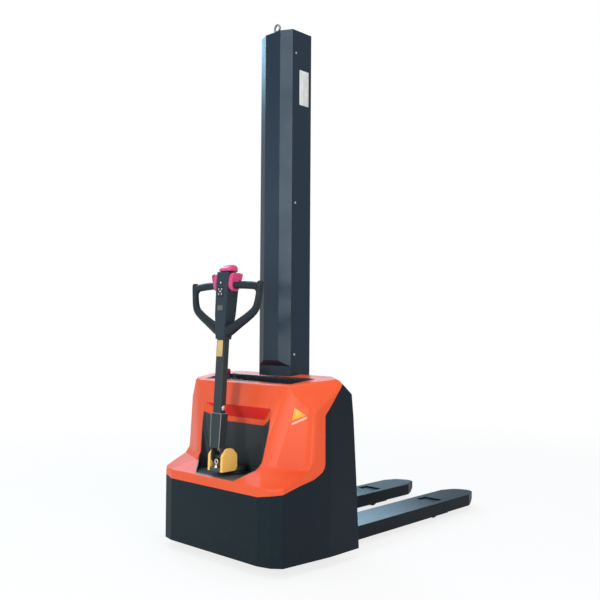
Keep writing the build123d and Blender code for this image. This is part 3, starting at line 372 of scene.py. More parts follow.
# top: lighter steel blue for faces that point up, partly a painted reflection; steel: bare metal in scratches
forkLook = dict(base=(0.0045, 0.0090, 0.0140), top=(0.030, 0.084, 0.135), steel=(0.18, 0.25, 0.32),
                rough=0.46, level=0.13, upBand=(0.55, 0.95), heelBand=(0.45, -0.20), heelShine=0.20,
                sheenAll=0.14, rubAndSheen=0.20, heelSheen=0.66, rub=34, rubStretch=(1.0, 0.16, 1.0),
                rubBand=(0.35, 0.78), rubShine=0.06, scratch=170, scratchStretch=(1.0, 0.05, 1.0),
                scratchBand=(0.66, 0.74), scratchAll=0.10, scratchHeel=0.15, scratchMetal=0.6,
                skin=500, bump=(0.05, 0.0006))


def forkFinish():
    look = forkLook
    finish = Finish("forkPaint")
    up = finish.band(finish.facing("Z"), *look["upBand"])
    rub = finish.band(finish.grain(look["rub"], 5, stretch=look["rubStretch"], rough=0.6), *look["rubBand"])
    scratch = finish.grain(look["scratch"], 3, stretch=look["scratchStretch"])
    scratch = finish.band(scratch, *look["scratchBand"])
    heel = finish.band(finish.axis("Y"), *look["heelBand"])  # toward the heel: more scratches, lower roughness, and a painted reflection that makes the top lighter and bluer
    bare = (scratch * up * (look["scratchAll"] + heel * look["scratchHeel"])).atMost(1.0)
    # faces that point up turn lighter and bluer: painted sheen on all of them, most toward the heel, varied
    # by rubbed wear
    worn = up * (look["sheenAll"] + rub * look["rubAndSheen"] + heel * look["heelSheen"])
    colour = finish.tint(worn, look["base"], look["top"])
    colour = finish.tint(bare, colour, look["steel"])
    rough = look["rough"] - up * heel * look["heelShine"] + rub * look["rubShine"]
    metal = bare * look["scratchMetal"]
    normal = finish.bump(finish.grain(look["skin"], 2), *look["bump"])
    return finish.set(base=colour, rough=rough, metal=metal, normal=normal, level=look["level"])


chainSteelLook = dict(base=(0.21, 0.20, 0.19), oiled=(0.07, 0.065, 0.06), rough=0.34, oil=120,
                      oilBand=(0.4, 0.7), oilShine=0.2, oilDull=0.35, bump=(0.1, 0.0005))


def chainFinish():
    look = chainSteelLook
    finish = Finish("chainSteel")
    oil = finish.band(finish.grain(look["oil"], 4), *look["oilBand"])
    colour = finish.tint(oil, look["base"], look["oiled"])
    rough = look["rough"] + oil * look["oilShine"]
    normal = finish.bump(oil, *look["bump"])
    return finish.set(base=colour, rough=rough, metal=1.0 - oil * look["oilDull"], normal=normal)


# thin plates and printed marks, all bare
plateLooks = {
    "plateWhite": dict(base=(0.70, 0.71, 0.70), pale=(0.58, 0.60, 0.59), rough=0.4),
    "plateOlive": dict(base=(0.072, 0.074, 0.048), pale=(0.125, 0.120, 0.080), rough=0.4),
    "plateSand": dict(base=(0.66, 0.42, 0.16), pale=(0.56, 0.33, 0.11), rough=0.4),
    "stripPeach": dict(base=(0.86, 0.42, 0.28), pale=(0.80, 0.34, 0.21), rough=0.4),
    "markWhite": dict(base=(0.80, 0.82, 0.80), pale=(0.70, 0.72, 0.70), rough=0.35),
}
plateWear = dict(cloud=45, cloudBand=(0.35, 0.7), cloudShine=0.2, skin=800, bump=(0.05, 0.0004))


def plateFinish(name):
    look = plateLooks[name]
    wear = plateWear
    finish = Finish(name)
    cloud = finish.grain(wear["cloud"], 4)
    colour = finish.tint(finish.band(cloud, *wear["cloudBand"]), look["base"], look["pale"])
    rough = look["rough"] + (cloud - 0.5) * wear["cloudShine"]
    normal = finish.bump(finish.grain(wear["skin"], 1), *wear["bump"])
    return finish.set(base=colour, rough=rough, normal=normal)


lensLook = dict(base=(0.93, 0.42, 0.022), deep=(0.84, 0.33, 0.012), rough=0.34, coat=0.15, coatRough=0.15,
                prism=260, prismBand=(0.1, 0.6), prismShine=0.2, bump=(0.25, 0.0006))


def lensFinish():
    look = lensLook
    finish = Finish("amberLens")
    prism = finish.cells(look["prism"])
    colour = finish.tint(finish.band(prism, *look["prismBand"]), look["base"], look["deep"])
    rough = look["rough"] + prism * look["prismShine"]
    normal = finish.bump(prism, *look["bump"])
    return finish.set(base=colour, rough=rough, coat=look["coat"], coatRough=look["coatRough"], normal=normal)


finishes = {}
for looks, makeFinish in ((paintLooks, paintFinish), (plasticLooks, plasticFinish), (treadLooks, treadFinish),
                          (metalLooks, metalFinish), (plateLooks, plateFinish)):
    finishes.update({name: makeFinish(name) for name in looks})
finishes.update({
    "coverOrange": coverFinish(),
    "earAmber": earFinish(),
    "linerBlack": linerFinish(),
    "gripRubber": rubberFinish(),
    "forkPaint": forkFinish(),
    "chainSteel": chainFinish(),
    "amberLens": lensFinish(),
})
print("finishes made:", len(finishes))

# Finish and edge softening of each solid, in millimetres
nodeLooks = {
    "coverOrange": ["upper_cover"],
    "skirtBlack": ["front_skirt", "chassis_side_left", "chassis_side_right", "drive_deck"],
    "panelShadeBlack": ["side_panel_left", "side_panel_right"],
    "linerBlack": ["steering_well_liner"],
    "trayBlack": ["storage_tray"],
    "mastCharcoal": ["mast_cover", "mast_top_plate", "mast_foot", "mast_rail_left", "mast_rail_right",
                     "lift_cylinder", "carriage_frame"],
    "forkPaint": ["fork_left", "fork_right", "leg_left", "leg_right"],
    "zincSilver": ["mast_cover_screws", "tiller_bolt", "castor_fork_left", "castor_fork_right"],
    "eyeSteel": ["lifting_eye"],
    "turnedSteel": ["load_roller_axles", "steering_bearing", "chain_sheave", "drive_wheel_hub",
                    "mast_roller_low_left", "mast_roller_low_right", "mast_roller_high_left",
                    "mast_roller_high_right"],
    "rodChrome": ["lift_ram"],
    "chainSteel": ["lift_chain"],
    "caseGrey": ["battery_left", "battery_right"],
    "tankWhite": ["hydraulic_tank"],
    "motorAlloy": ["pump_motor", "motor_controller"],
    "driveCasting": ["drive_yoke", "drive_motor", "drive_gearbox"],
    "driveTread": ["drive_tyre"],
    "rollerTread": ["load_roller_left", "load_roller_right", "castor_wheel_left", "castor_wheel_right"],
    "earAmber": ["tiller_base", "tiller_pin"],
    "tillerBlack": ["tiller_arm"],
    "headBlack": ["handle_head"],
    "gripRubber": ["handle_grip_left", "handle_grip_right"],
    "controlRed": ["belly_button", "throttle"],
    "stopShadeRed": ["stop_button"],
    "controlDark": ["horn_button", "lift_rocker", "key"],
}
softEdges = {
    "upper_cover": 2.5, "front_skirt": 1.2, "side_panel_left": 1.5, "side_panel_right": 1.5,
    "mast_cover": 0.8, "steering_well_liner": 1.2, "storage_tray": 1.5, "fork_left": 2.0, "fork_right": 2.0,
    "leg_left": 1.5, "leg_right": 1.5, "tiller_base": 2.5, "tiller_arm": 1.0, "handle_head": 2.2,
    "carriage_frame": 1.5, "mast_top_plate": 1.0, "chassis_side_left": 1.0, "chassis_side_right": 1.0,
    "drive_yoke": 2.0, "battery_left": 2.0, "battery_right": 2.0, "motor_controller": 2.0,
    "lift_rocker": 0.4, "horn_button": 0.8, "key": 0.5, "castor_fork_left": 0.8, "castor_fork_right": 0.8,
}
edgeLook = dict(join=0.00001, flat=0.6, turn=32, steps=2)  # metres, two angles in degrees, steps round


def softenEdges(obj, width):
    weld = obj.modifiers.new("weld", "WELD")
    weld.merge_threshold = edgeLook["join"]
    flat = obj.modifiers.new("flat", "DECIMATE")
    flat.decimate_type = "DISSOLVE"
    flat.angle_limit = math.radians(edgeLook["flat"])
    edge = obj.modifiers.new("edge", "BEVEL")
    edge.width = width / 1000
    edge.segments = edgeLook["steps"]
    edge.limit_method = "ANGLE"
    edge.angle_limit = math.radians(edgeLook["turn"])
    edge.harden_normals = True
    edge.use_clamp_overlap = True


for finishName, names in nodeLooks.items():
    for name in names:
        mesh = nodes[name].data
        mesh.materials.clear()
        mesh.materials.append(finishes[finishName])
for name, width in softEdges.items():
    softenEdges(nodes[name], width)
print("solids dressed:", sum(len(names) for names in nodeLooks.values()))


# Mesh helpers; sizes come in millimetres, meshes are in metres
def metres(point):
    return Vector(point) / 1000


hingePoint = Vector((0, -0.800, 0.430))
armLean = -3.5  # degrees, as the tiller stands at rest
armMatrix = Matrix.Translation(hingePoint) @ Matrix.Rotation(math.radians(armLean), 4, "X")
frontY = -845  # front of the skirt, in millimetres


def addPiece(name, bm, finish, body, matrix=None, replaced=(), smooth=40):
    if matrix is not None:
        bm.transform(matrix)
    bmesh.ops.recalc_face_normals(bm, faces=bm.faces)
    mesh = bpy.data.meshes.new(name)
    bm.to_mesh(mesh)
    bm.free()
    obj = bpy.data.objects.new(name, mesh)
    bpy.context.scene.collection.objects.link(obj)
    mesh.materials.append(finishes[finish])
    for face in mesh.polygons:
        face.use_smooth = True
    mesh.set_sharp_from_angle(angle=math.radians(smooth))
    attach(obj, body)
    if replaced:
        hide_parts(*replaced)
    return obj


def turnTo(axis):
    return Vector((0, 0, 1)).rotation_difference(Vector(axis)).to_matrix().to_4x4()


def loftRings(bm, rings, capped=True, looped=False):
    pairs = list(zip(rings, rings[1:]))
    if looped:
        pairs.append((rings[-1], rings[0]))
    for first, second in pairs:
        count = len(first)
        for step in range(count):
            after = (step + 1) % count
            bm.faces.new((first[step], first[after], second[after], second[step]))
    if capped and not looped:
        bm.faces.new(list(reversed(rings[0])))
        bm.faces.new(rings[-1])


# round piece on an axis: profile is (distance along, radius)
def turned(bm, centre, axis, profile, segments=32):
    matrix = Matrix.Translation(metres(centre)) @ turnTo(axis)
    rings = []
    for along, radius in profile:
        ring = []
        for step in range(segments):
            angle = 2 * math.pi * (step + 0.5) / segments
            point = (radius * math.cos(angle), radius * math.sin(angle), along)
            ring.append(bm.verts.new(matrix @ metres(point)))
        rings.append(ring)
    loftRings(bm, rings)


# tube along a path, its radius changing from point to point
def pipe(bm, path, radii, segments=24):
    path = [Vector(point) for point in path]
    across = None
    rings = []
    for index, point in enumerate(path):
        along = (path[min(index + 1, len(path) - 1)] - path[max(index - 1, 0)]).normalized()
        if across is None:
            across = along.orthogonal()
        across = (across - along * across.dot(along)).normalized()
        other = along.cross(across)
        ring = []
        for step in range(segments):
            angle = 2 * math.pi * step / segments
            offset = (across * math.cos(angle) + other * math.sin(angle)) * radii[index]
            ring.append(bm.verts.new(metres(point + offset)))
        rings.append(ring)
    loftRings(bm, rings)


def bevelEdges(bm, verts, width, steps=2):
    edges = dict.fromkeys(edge for vert in verts for edge in vert.link_edges)
    bmesh.ops.bevel(bm, geom=list(edges), offset=width / 1000, segments=steps, affect="EDGES", profile=0.5)


# flat plate: an outline and its copy moved by a vector
def plate(bm, outline, move, edge):
    rings = []
    for share in (0, 1):
        rings.append([bm.verts.new(metres(Vector(point) + Vector(move) * share)) for point in outline])
    loftRings(bm, rings)
    bevelEdges(bm, rings[0] + rings[1], edge)


def roundedBlock(bm, low, high, edge, steps=2):
    verts = bmesh.ops.create_cube(bm, size=1)["verts"]
    size = metres(high) - metres(low)
    middle = (metres(high) + metres(low)) / 2
    for vert in verts:
        vert.co = Vector((vert.co.x * size.x, vert.co.y * size.y, vert.co.z * size.z)) + middle
    bevelEdges(bm, verts, edge, steps)


# hexagon bolt on a washer; all but sunk and overlap are shares of the bolt's radius or height
hexLook = dict(sunk=0.3, overlap=0.2, thick=0.2, washer=1.45, washerTop=1.38, shoulder=0.8, crown=0.86)


def hexBolt(bm, centre, axis, radius, tall):
    look = hexLook
    lift = radius * look["thick"]
    wide = radius * look["washer"]
    washer = [(-look["sunk"], wide), (lift * look["shoulder"], wide), (lift, radius * look["washerTop"])]
    head = [(lift - look["overlap"], radius), (lift + tall * look["shoulder"], radius),
            (lift + tall, radius * look["crown"])]
    turned(bm, centre, axis, washer, 24)
    turned(bm, centre, axis, head, 6)


# button screw with a sunk socket, its shape in shares of height and radius
screwLook = dict(sunk=0.2, shape=[(0.35, 1), (0.8, 0.8), (1, 0.5), (0.55, 0.46), (0.55, 0.05)])


def buttonScrew(bm, centre, axis, radius, tall):
    profile = [(tall * up, radius * out) for up, out in screwLook["shape"]]
    turned(bm, centre, axis, [(-screwLook["sunk"], radius)] + profile, 20)


def smoothPath(points, steps, closed=False):
    points = [Vector(point) for point in points]
    padded = [points[-1]] + points + points[:2] if closed else [points[0]] + points + [points[-1]]
    found = []
    for index in range(1, len(padded) - 2):
        a, b, c, d = padded[index - 1:index + 3]
        for step in range(steps):
            t = step / steps
            found.append(0.5 * (2 * b + (c - a) * t + (2 * a - 5 * b + 4 * c - d) * t * t
                                + (3 * b - a - 3 * c + d) * t * t * t))
    return found if closed else found + [points[-1]]


# Grip loops: a drooping bar into a stubbed leg, which runs on into a thick slanting branch
# Each point is how far out, how far up the arm, and the radius there
gripLook = dict(
    forward=-18.5, segments=28, steps=5,
    bar=[(26, 726.5, 15.0), (60, 726.5, 15.4), (110, 725.6, 16.2), (150, 723.2, 16.4), (178, 720.4, 15.8),
         (200, 718.4, 14.2)],
    leg=[(209, 740.6, 3), (209, 739.8, 8.6), (208.9, 737, 12.2), (208.6, 731.4, 13.7), (207.6, 718, 14.2),
         (205.4, 698, 14.2), (202, 672, 14.4), (197.4, 648, 15.0), (189, 627, 16.0), (172, 610, 17.0),
         (140, 589.5, 18.0), (100, 567.5, 19.4), (66, 550, 21.6), (40, 538, 24.6), (12, 526, 25.4)],
    gusset=[(176, 712, 7), (189, 707, 9.5), (198, 698, 10.5), (203, 684, 7.5)])


def gripLoop(side, name, node):
    look = gripLook
    bm = bmesh.new()
    for part in ("bar", "leg", "gusset"):
        path = smoothPath([(side * x, z, r) for x, z, r in look[part]], look["steps"])
        line = [(point.x, look["forward"], point.y) for point in path]
        pipe(bm, line, [point.z for point in path], look["segments"])
    return addPiece(name, bm, "gripRubber", "tiller", armMatrix, (node,))


gripLoop(-1, "gripLoopLeft", "handle_grip_left")
gripLoop(1, "gripLoopRight", "handle_grip_right")

# Belly button, a soft wedge that rises to the rear behind the head's front lip
# rise: share of the height, share of the width; folds: share of the sleeve's height, how far it draws in
bellyLook = dict(
    low=786.0, half=35.0, front=-43, back=18, power=0.42, steps=64,
    tallFront=18, tallBack=31.5, slopeEnd=1.35,
    rise=[(0, 0.90), (0.04, 0.965), (0.12, 1.0), (0.35, 1.0), (0.58, 0.965), (0.74, 0.90), (0.86, 0.80),
          (0.94, 0.66), (0.985, 0.46), (1.0, 0.2)],
    stemLow=771.5, stemRadius=8, stemInto=4,
    sleeveLow=781.3, sleeveHigh=787.2, sleeveHalf=30, sleeveShort=5, sleeveSteps=48, travel=3.5,
    folds=[(0, 0), (0.15, 0), (0.32, 2.4), (0.5, 0), (0.68, 2.4), (0.85, 0), (1, 1)])


# outline between a square and a circle, as shares of its half sizes
def softSquare(steps, power):
    spots = []
    for step in range(steps):
        angle = 2 * math.pi * step / steps
        spots.append([math.copysign(abs(part) ** power, part) for part in (math.cos(angle), math.sin(angle))])
    return spots


def bellyButton():
    look = bellyLook
    middle = (look["front"] + look["back"]) / 2
    deep = (look["back"] - look["front"]) / 2
    bm = bmesh.new()
    rings = []
    for up, share in look["rise"]:
        ring = []
        for across, along in softSquare(look["steps"], look["power"]):
            along = along * share
            slope = min(1.0, max(0.0, (along + 1) / look["slopeEnd"]))
            slope = slope * slope * (3 - 2 * slope)
            tall = look["tallFront"] + (look["tallBack"] - look["tallFront"]) * slope
            point = (across * share * look["half"], middle + along * deep, look["low"] + up * tall)
            ring.append(bm.verts.new(metres(point)))
        rings.append(ring)
    loftRings(bm, rings)
    radius = look["stemRadius"]
    stemTall = look["low"] - look["stemLow"] + look["stemInto"]
    turned(bm, (0, middle, look["stemLow"]), (0, 0, 1), [(0, radius), (stemTall, radius)], 24)
    addPiece("bellyButton", bm, "controlRed", "belly", armMatrix, ("belly_button",), 50)
    # rubber sleeve round the stem
    # the black sleeve also fills the gap under the dome, a dark piece that stands in for the shade there
    low = look["sleeveLow"]
    tall = look["sleeveHigh"] - low
    half = look["sleeveHalf"]
    bm = bmesh.new()
    rings = []
    for share, fold in look["folds"]:
        reach = half - fold
        ring = []
        for across, along in softSquare(look["sleeveSteps"], look["power"]):
            back = middle + along * (reach - half + deep - look["sleeveShort"])
            ring.append(bm.verts.new(metres((across * reach, back, low + tall * share))))
        rings.append(ring)
    loftRings(bm, rings)
    sleeve = addPiece("bellySleeve", bm, "bootRubber", "tiller", armMatrix, (), 60)
    up = armMatrix.to_3x3() @ Vector((0, 0, 1))
    (tall - look["travel"]) / tall
    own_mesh(sleeve)


bellyButton()

# Throttle wings: teardrop paddles on the grip bar, each with a raked, ribbed fin; one link through the head
wingLook = dict(
    axisY=-18.5, axisZ=726.5, inner=38, outer=59, bore=16.4, middle=(0, 8), steps=6,
    outline=[(26, 0), (23, 17), (19, 33), (13, 46), (5, 52), (-8, 52), (-18, 46), (-23.5, 33), (-26, 16),
             (-26.5, 0), (-23, -13), (-13.5, -22.5), (0, -26), (13.5, -22.5), (23, -13)],
    sections=[(0, 0.88), (0.04, 0.955), (0.12, 1.0), (0.88, 1.0), (0.96, 0.955), (1, 0.88)],
    linkUp=22, linkRadius=4, linkInto=2,
    fin=[(50, 778), (78, 776.5), (88.5, 774), (91, 768), (85.5, 750), (81, 738), (50, 734)],
    finHalf=8.5, finEdge=2.4, ribRadii=(1.2, 0.9),
    ribs=[(89.4, 771.5, 83.4, 746), (83.0, 774.4, 77.4, 744), (76.6, 775.6, 71.6, 742),
          (70.2, 776.4, 66.0, 741)])


def throttleWings():
    look = wingLook
    bm = bmesh.new()
    outline = smoothPath([(y, z, 0) for y, z in look["outline"]], look["steps"], True)
    middle = Vector((*look["middle"], 0))
    for side in (-1, 1):
        outer, inner = [], []
        for along, share in look["sections"]:
            x = side * (look["inner"] + (look["outer"] - look["inner"]) * along)
            ring, hole = [], []
            for point in outline:
                shaped = middle + (point - middle) * share
                bored = point.normalized() * look["bore"]
                for target, spot in ((ring, shaped), (hole, bored)):
                    target.append(bm.verts.new(metres((x, look["axisY"] + spot.x, look["axisZ"] + spot.y))))
            outer.append(ring)
            inner.append(hole)
        loftRings(bm, outer, False)
        loftRings(bm, inner, False)
        for end in (0, -1):
            loftRings(bm, [outer[end], inner[end]], False)
    radius = look["linkRadius"]
    span = look["inner"] + look["linkInto"]
    start = (-span, look["axisY"], look["axisZ"] + look["linkUp"])
    turned(bm, start, (1, 0, 0), [(0, radius), (2 * span, radius)], 16)
    addPiece("throttleWings", bm, "controlRed", "throttle", armMatrix, ("throttle",), 50)
    bm = bmesh.new()
    for side in (-1, 1):
        start = look["axisY"] - look["finHalf"]
        outline = [(side * x, start, z) for x, z in look["fin"]]
        plate(bm, outline, (0, 2 * look["finHalf"], 0), look["finEdge"])
    addPiece("throttleFins", bm, "controlRed", "throttle", armMatrix)
    # the ribs take the darker red, painted shade
    bm = bmesh.new()
    for side in (-1, 1):
        for x0, z0, x1, z1 in look["ribs"]:
            for face in (-look["finHalf"], look["finHalf"]):
                y = look["axisY"] + face
                pipe(bm, [(side * x0, y, z0), (side * x1, y, z1)], look["ribRadii"], 10)
    addPiece("finRibs", bm, "ribShadeRed", "throttle", armMatrix)


throttleWings()
print("handle controls built")

# Head details: front lip, blank key marks, a bare plate, side screws
# fronts: height and front face of the head; thickness: how far a plate stands out and how far it goes in
headLook = dict(
    fronts=[(496.5, -43.6), (599.5, -49.6), (699.5, -50.1), (781.5, -47.6)], top=781.5,
    lipHalf=33.0, lipIn=0.4, lipDeep=6.0, lipBelow=3, lipRise=1.4, lipEdge=1.6,
    keyProud=3.0, dotUp=735.5, dotRadius=3.4, dotRise=[(-0.5, 1), (0.35, 1), (0.6, 0.85)],
    rockerUp=695.5, dash=(0, 698, 5.2, 1.7), markHalf=2.2, markThickness=(0.35, 0.4, 0.3),
    marks=[(-10, 708), (10, 708), (-10, 686.5), (10, 686.5)],
    plate=(-15, 17, 618, 639), plateThickness=(0.7, 0.8, 0.4),
    tubeFront=-37, tubePlate=(-18, 18, 423, 492), tubeThickness=(0.5, 0.5, 0.3),
    screws=[(36.3, 6, 668), (35.2, 4, 606), (32.0, -2, 548)], screwRadius=2.8, screwTall=1.5)


def headFront(height):
    marks = headLook["fronts"]
    for (z0, y0), (z1, y1) in zip(marks, marks[1:]):
        if height <= z1:
            return y0 + (y1 - y0) * (height - z0) / (z1 - z0)
    return marks[-1][1]


# thin plate on a front face; thickness is proud, sunk and the rounding of its edge
def facePlate(bm, face, area, thickness):
    x0, x1, z0, z1 = area
    proud, sunk, edge = thickness
    roundedBlock(bm, (x0, face - proud, z0), (x1, face + sunk, z1), edge)


def headDetails():
    look = headLook
    bm = bmesh.new()
    face = headFront(look["top"])
    roundedBlock(bm, (-look["lipHalf"], face + look["lipIn"], look["top"] - look["lipBelow"]),
                 (look["lipHalf"], face + look["lipDeep"], look["top"] + look["lipRise"]), look["lipEdge"], 3)
    addPiece("headLip", bm, "headBlack", "tiller", armMatrix)
    bm = bmesh.new()
    face = headFront(look["dotUp"]) - look["keyProud"]
    profile = [(up, look["dotRadius"] * share) for up, share in look["dotRise"]]
    turned(bm, (0, face, look["dotUp"]), (0, -1, 0), profile, 20)
    addPiece("hornDot", bm, "markWhite", "horn", armMatrix)
    bm = bmesh.new()
    face = headFront(look["rockerUp"]) - look["keyProud"]
    half = look["markHalf"]
    for x, z, wide, tall in [look["dash"]] + [(x, z, half, half) for x, z in look["marks"]]:
        facePlate(bm, face, (x - wide, x + wide, z - tall, z + tall), look["markThickness"])
    addPiece("rockerMarks", bm, "markWhite", "rocker", armMatrix)
    bm = bmesh.new()
    low, high = look["plate"][2:]
    facePlate(bm, headFront((low + high) / 2), look["plate"], look["plateThickness"])
    addPiece("headPlate", bm, "plateOlive", "tiller", armMatrix)
    bm = bmesh.new()
    facePlate(bm, look["tubeFront"], look["tubePlate"], look["tubeThickness"])
    addPiece("tubePlate", bm, "plateSand", "tiller", armMatrix)
    bm = bmesh.new()
    for side in (-1, 1):
        for x, y, z in look["screws"]:
            buttonScrew(bm, (side * x, y, z), (side, 0, 0), look["screwRadius"], look["screwTall"])
    addPiece("headScrews", bm, "controlDark", "tiller", armMatrix)


headDetails()

# Arm: pale strips along the front edges of the boxed foot, painted highlights on those edges; its weld to the
# tube, a hexagon cross bolt with its nut
armLook = dict(low=41, high=185, half=(28, 32), front=-37, back=1, edge=1.5, edgeIn=0.6, weld=1.2, weldIn=0.8,
               boltUp=207, boltY=-17.6, boltX=24.3, boltRadius=8.4, boltTall=4.6, shank=4.9)


def armDetails():
    look = armLook
    bm = bmesh.new()
    lowHalf, highHalf = (half - look["edgeIn"] for half in look["half"])
    front = look["front"] + look["edgeIn"]
    for side in (-1, 1):
        line = [(side * lowHalf, front, look["low"]), (side * highHalf, front, look["high"])]
        pipe(bm, line, [look["edge"]] * 2, 12)
    top = look["high"] - look["weldIn"]
    loop = [(-highHalf, look["back"], top), (-highHalf, front, top), (highHalf, front, top),
            (highHalf, look["back"], top)]
    for start, end in zip(loop, loop[1:]):
        pipe(bm, [start, end], [look["weld"]] * 2, 12)
    addPiece("armEdges", bm, "edgePale", "tiller", armMatrix)
    bm = bmesh.new()
    span = look["boltX"]
    y, z = look["boltY"], look["boltUp"]
    for side in (-1, 1):
        hexBolt(bm, (side * span, y, z), (side, 0, 0), look["boltRadius"], look["boltTall"])
    turned(bm, (-span, y, z), (1, 0, 0), [(0, look["shank"]), (2 * span, look["shank"])], 20)
    addPiece("armBolt", bm, "zincSilver", "tiller", armMatrix, ("tiller_bolt",))


armDetails()

# Steering foot: pad and spring eye between the ears, rubber boot round the stem
# boot: height and radius of each fold
footLook = dict(
    axisBack=119.95, pad=(33.4, 16.5, 72, 385.6, 388), padEdge=0.8,
    eyeBack=24, nutLow=388, nutRadius=8.5, nutTall=7, rodRadius=4.2, rodTop=408,
    eyeUp=414, eyeRadius=9, eyeWire=3.4, eyeSteps=24, wireSteps=12,
    boot=[(352, 60.5), (354.5, 61), (357, 58), (359.5, 54.6), (362, 58.6), (364.5, 59), (367, 55),
          (369.5, 53.4), (372, 57), (374.5, 57.4), (377, 54), (380, 52.6), (385, 52.2), (387.6, 50.4),
          (388.8, 47), (389.2, 40)])


def footDetails():
    look = footLook
    bm = bmesh.new()
    half, near, far, low, high = look["pad"]
    roundedBlock(bm, (-half, frontY + near, low), (half, frontY + far, high), look["padEdge"])
    addPiece("footPad", bm, "padGrey", "steer")
    bm = bmesh.new()
    y = frontY + look["eyeBack"]
    low, radius = look["nutLow"], look["rodRadius"]
    hexBolt(bm, (0, y, low), (0, 0, 1), look["nutRadius"], look["nutTall"])
    turned(bm, (0, y, low), (0, 0, 1), [(0, radius), (look["rodTop"] - low, radius)], 16)
    rings = []
    for step in range(look["eyeSteps"]):
        angle = 2 * math.pi * step / look["eyeSteps"]
        out = Vector((math.cos(angle), 0, math.sin(angle)))
        centre = Vector((0, y, look["eyeUp"])) + out * look["eyeRadius"]
        ring = []
        for part in range(look["wireSteps"]):
            turn = 2 * math.pi * part / look["wireSteps"]
            offset = (out * math.cos(turn) + Vector((0, 1, 0)) * math.sin(turn)) * look["eyeWire"]
            ring.append(bm.verts.new(metres(centre + offset)))
        rings.append(ring)
    loftRings(bm, rings, False, True)
    addPiece("springEye", bm, "turnedSteel", "steer")
    bm = bmesh.new()
    turned(bm, (0, frontY + look["axisBack"], 0), (0, 0, 1), look["boot"], 56)
    addPiece("steeringBoot", bm, "bootRubber", "steer", None, (), 60)


footDetails()
print("tiller details built")

# Mast: bare plate with rivets on the right side
mastPlateLook = dict(side=101, near=410, far=470, low=1990, high=2150, thick=0.8, sunk=0.4, edge=0.35,
                     rivet=2.4, inset=6, rivetRise=[(-0.3, 1), (0.4, 1), (1.0, 0.7), (1.2, 0.2)])


def mastPlate():
    look = mastPlateLook
    face = look["side"] + look["thick"]
    bm = bmesh.new()
    roundedBlock(bm, (look["side"] - look["sunk"], frontY + look["near"], look["low"]),
                 (face, frontY + look["far"], look["high"]), look["edge"])
    addPiece("mastPlate", bm, "plateWhite", "chassis")
    bm = bmesh.new()
    profile = [(up, look["rivet"] * share) for up, share in look["rivetRise"]]
    for back in (look["near"] + look["inset"], look["far"] - look["inset"]):
        for z in (look["low"] + look["inset"], look["high"] - look["inset"]):
            turned(bm, (face, frontY + back, z), (1, 0, 0), profile, 16)
    addPiece("mastRivets", bm, "zincSilver", "chassis")


mastPlate()

# Cover: plain amber reflector over a pale strip on the right swept face
# face: a point of the swept face, out, back and up; across and batter: how it runs back on the way out and up
reflectorLook = dict(
    corners=[(315.4, 653.2), (361.3, 622.5), (308.6, 599.6)], lensEdge=0.7,
    strip=[(307.8, 590.3), (364.3, 619.4), (364.3, 609.2), (307.8, 580.1)], stripEdge=0.5,
    face=(195, 89, 400), across=96 / 195, batter=0.07, sunk=2.2, proud=1.6)


# how far back the swept face lies at a point
def sweptFace(x, z):
    startX, startY, startZ = reflectorLook["face"]
    return startY + (x - startX) * reflectorLook["across"] + (z - startZ) * reflectorLook["batter"]


def reflector():
    look = reflectorLook
    for name, points, finish, edge in (("coverReflector", look["corners"], "amberLens", look["lensEdge"]),
                                       ("coverStrip", look["strip"], "stripPeach", look["stripEdge"])):
        bm = bmesh.new()
        outline = [Vector((x, frontY + sweptFace(x, z), z)) for x, z in points]
        normal = (outline[1] - outline[0]).cross(outline[2] - outline[0]).normalized()
        if normal.y > 0:
            normal = -normal
        sunken = [point - normal * look["sunk"] for point in outline]
        plate(bm, sunken, normal * (look["sunk"] + look["proud"]), edge)
        addPiece(name, bm, finish, "chassis")


reflector()

# Tray: rolled rim round the pocket, collar under the stop button, lock plate under the key
# rim: how far in and up; stop and key: height over the deck and radius
trayLook = dict(
    half=268, near=188, far=334, corner=7, cornerLeast=1.5, cornerSteps=6, coverFront=(170, 742), slope=0.1,
    rim=[(-5.0, -0.6), (-4.2, 1.2), (-1.2, 2.2), (2.0, 2.0), (3.6, 0.6), (3.8, -8.0), (-3.0, -8.0)],
    deck=738, place=-198, stopBack=248, keyBack=300,
    stop=[(-0.5, 23), (2.0, 23), (3.2, 21.8), (3.6, 17), (14, 15.2), (15, 14.4), (15, 12.6), (0, 12.6)],
    key=[(-0.5, 15), (1.6, 15), (2.4, 14.2), (2.6, 10.2), (0, 10.2)])


def trayDetails():
    look = trayLook
    coverBack, coverUp = look["coverFront"]
    bm = bmesh.new()
    rings = []
    for inset, up in look["rim"]:
        ring = []
        half = look["half"] - inset
        near = look["near"] + inset
        far = look["far"] - inset
        bend = max(look["corner"] - inset, look["cornerLeast"])
        corners = [(half, far, 0), (-half, far, 90), (-half, near, 180), (half, near, 270)]
        for x, y, start in corners:
            cx = x - math.copysign(bend, x)
            cy = y - math.copysign(bend, y - (near + far) / 2)
            for step in range(look["cornerSteps"] + 1):
                angle = math.radians(start + step * 90 / look["cornerSteps"])
                back = cy + bend * math.sin(angle)
                z = coverUp + look["slope"] * (back - coverBack) + up
                ring.append(bm.verts.new(metres((cx + bend * math.cos(angle), frontY + back, z))))
        rings.append(ring)
    loftRings(bm, rings, False, True)
    addPiece("trayRim", bm, "trayBlack", "chassis")
    bm = bmesh.new()
    turned(bm, (look["place"], frontY + look["stopBack"], look["deck"]), (0, 0, 1), look["stop"], 40)
    turned(bm, (look["place"], frontY + look["keyBack"], look["deck"]), (0, 0, 1), look["key"], 32)
    addPiece("switchCollars", bm, "controlDark", "chassis")


trayDetails()
print("cover details built")

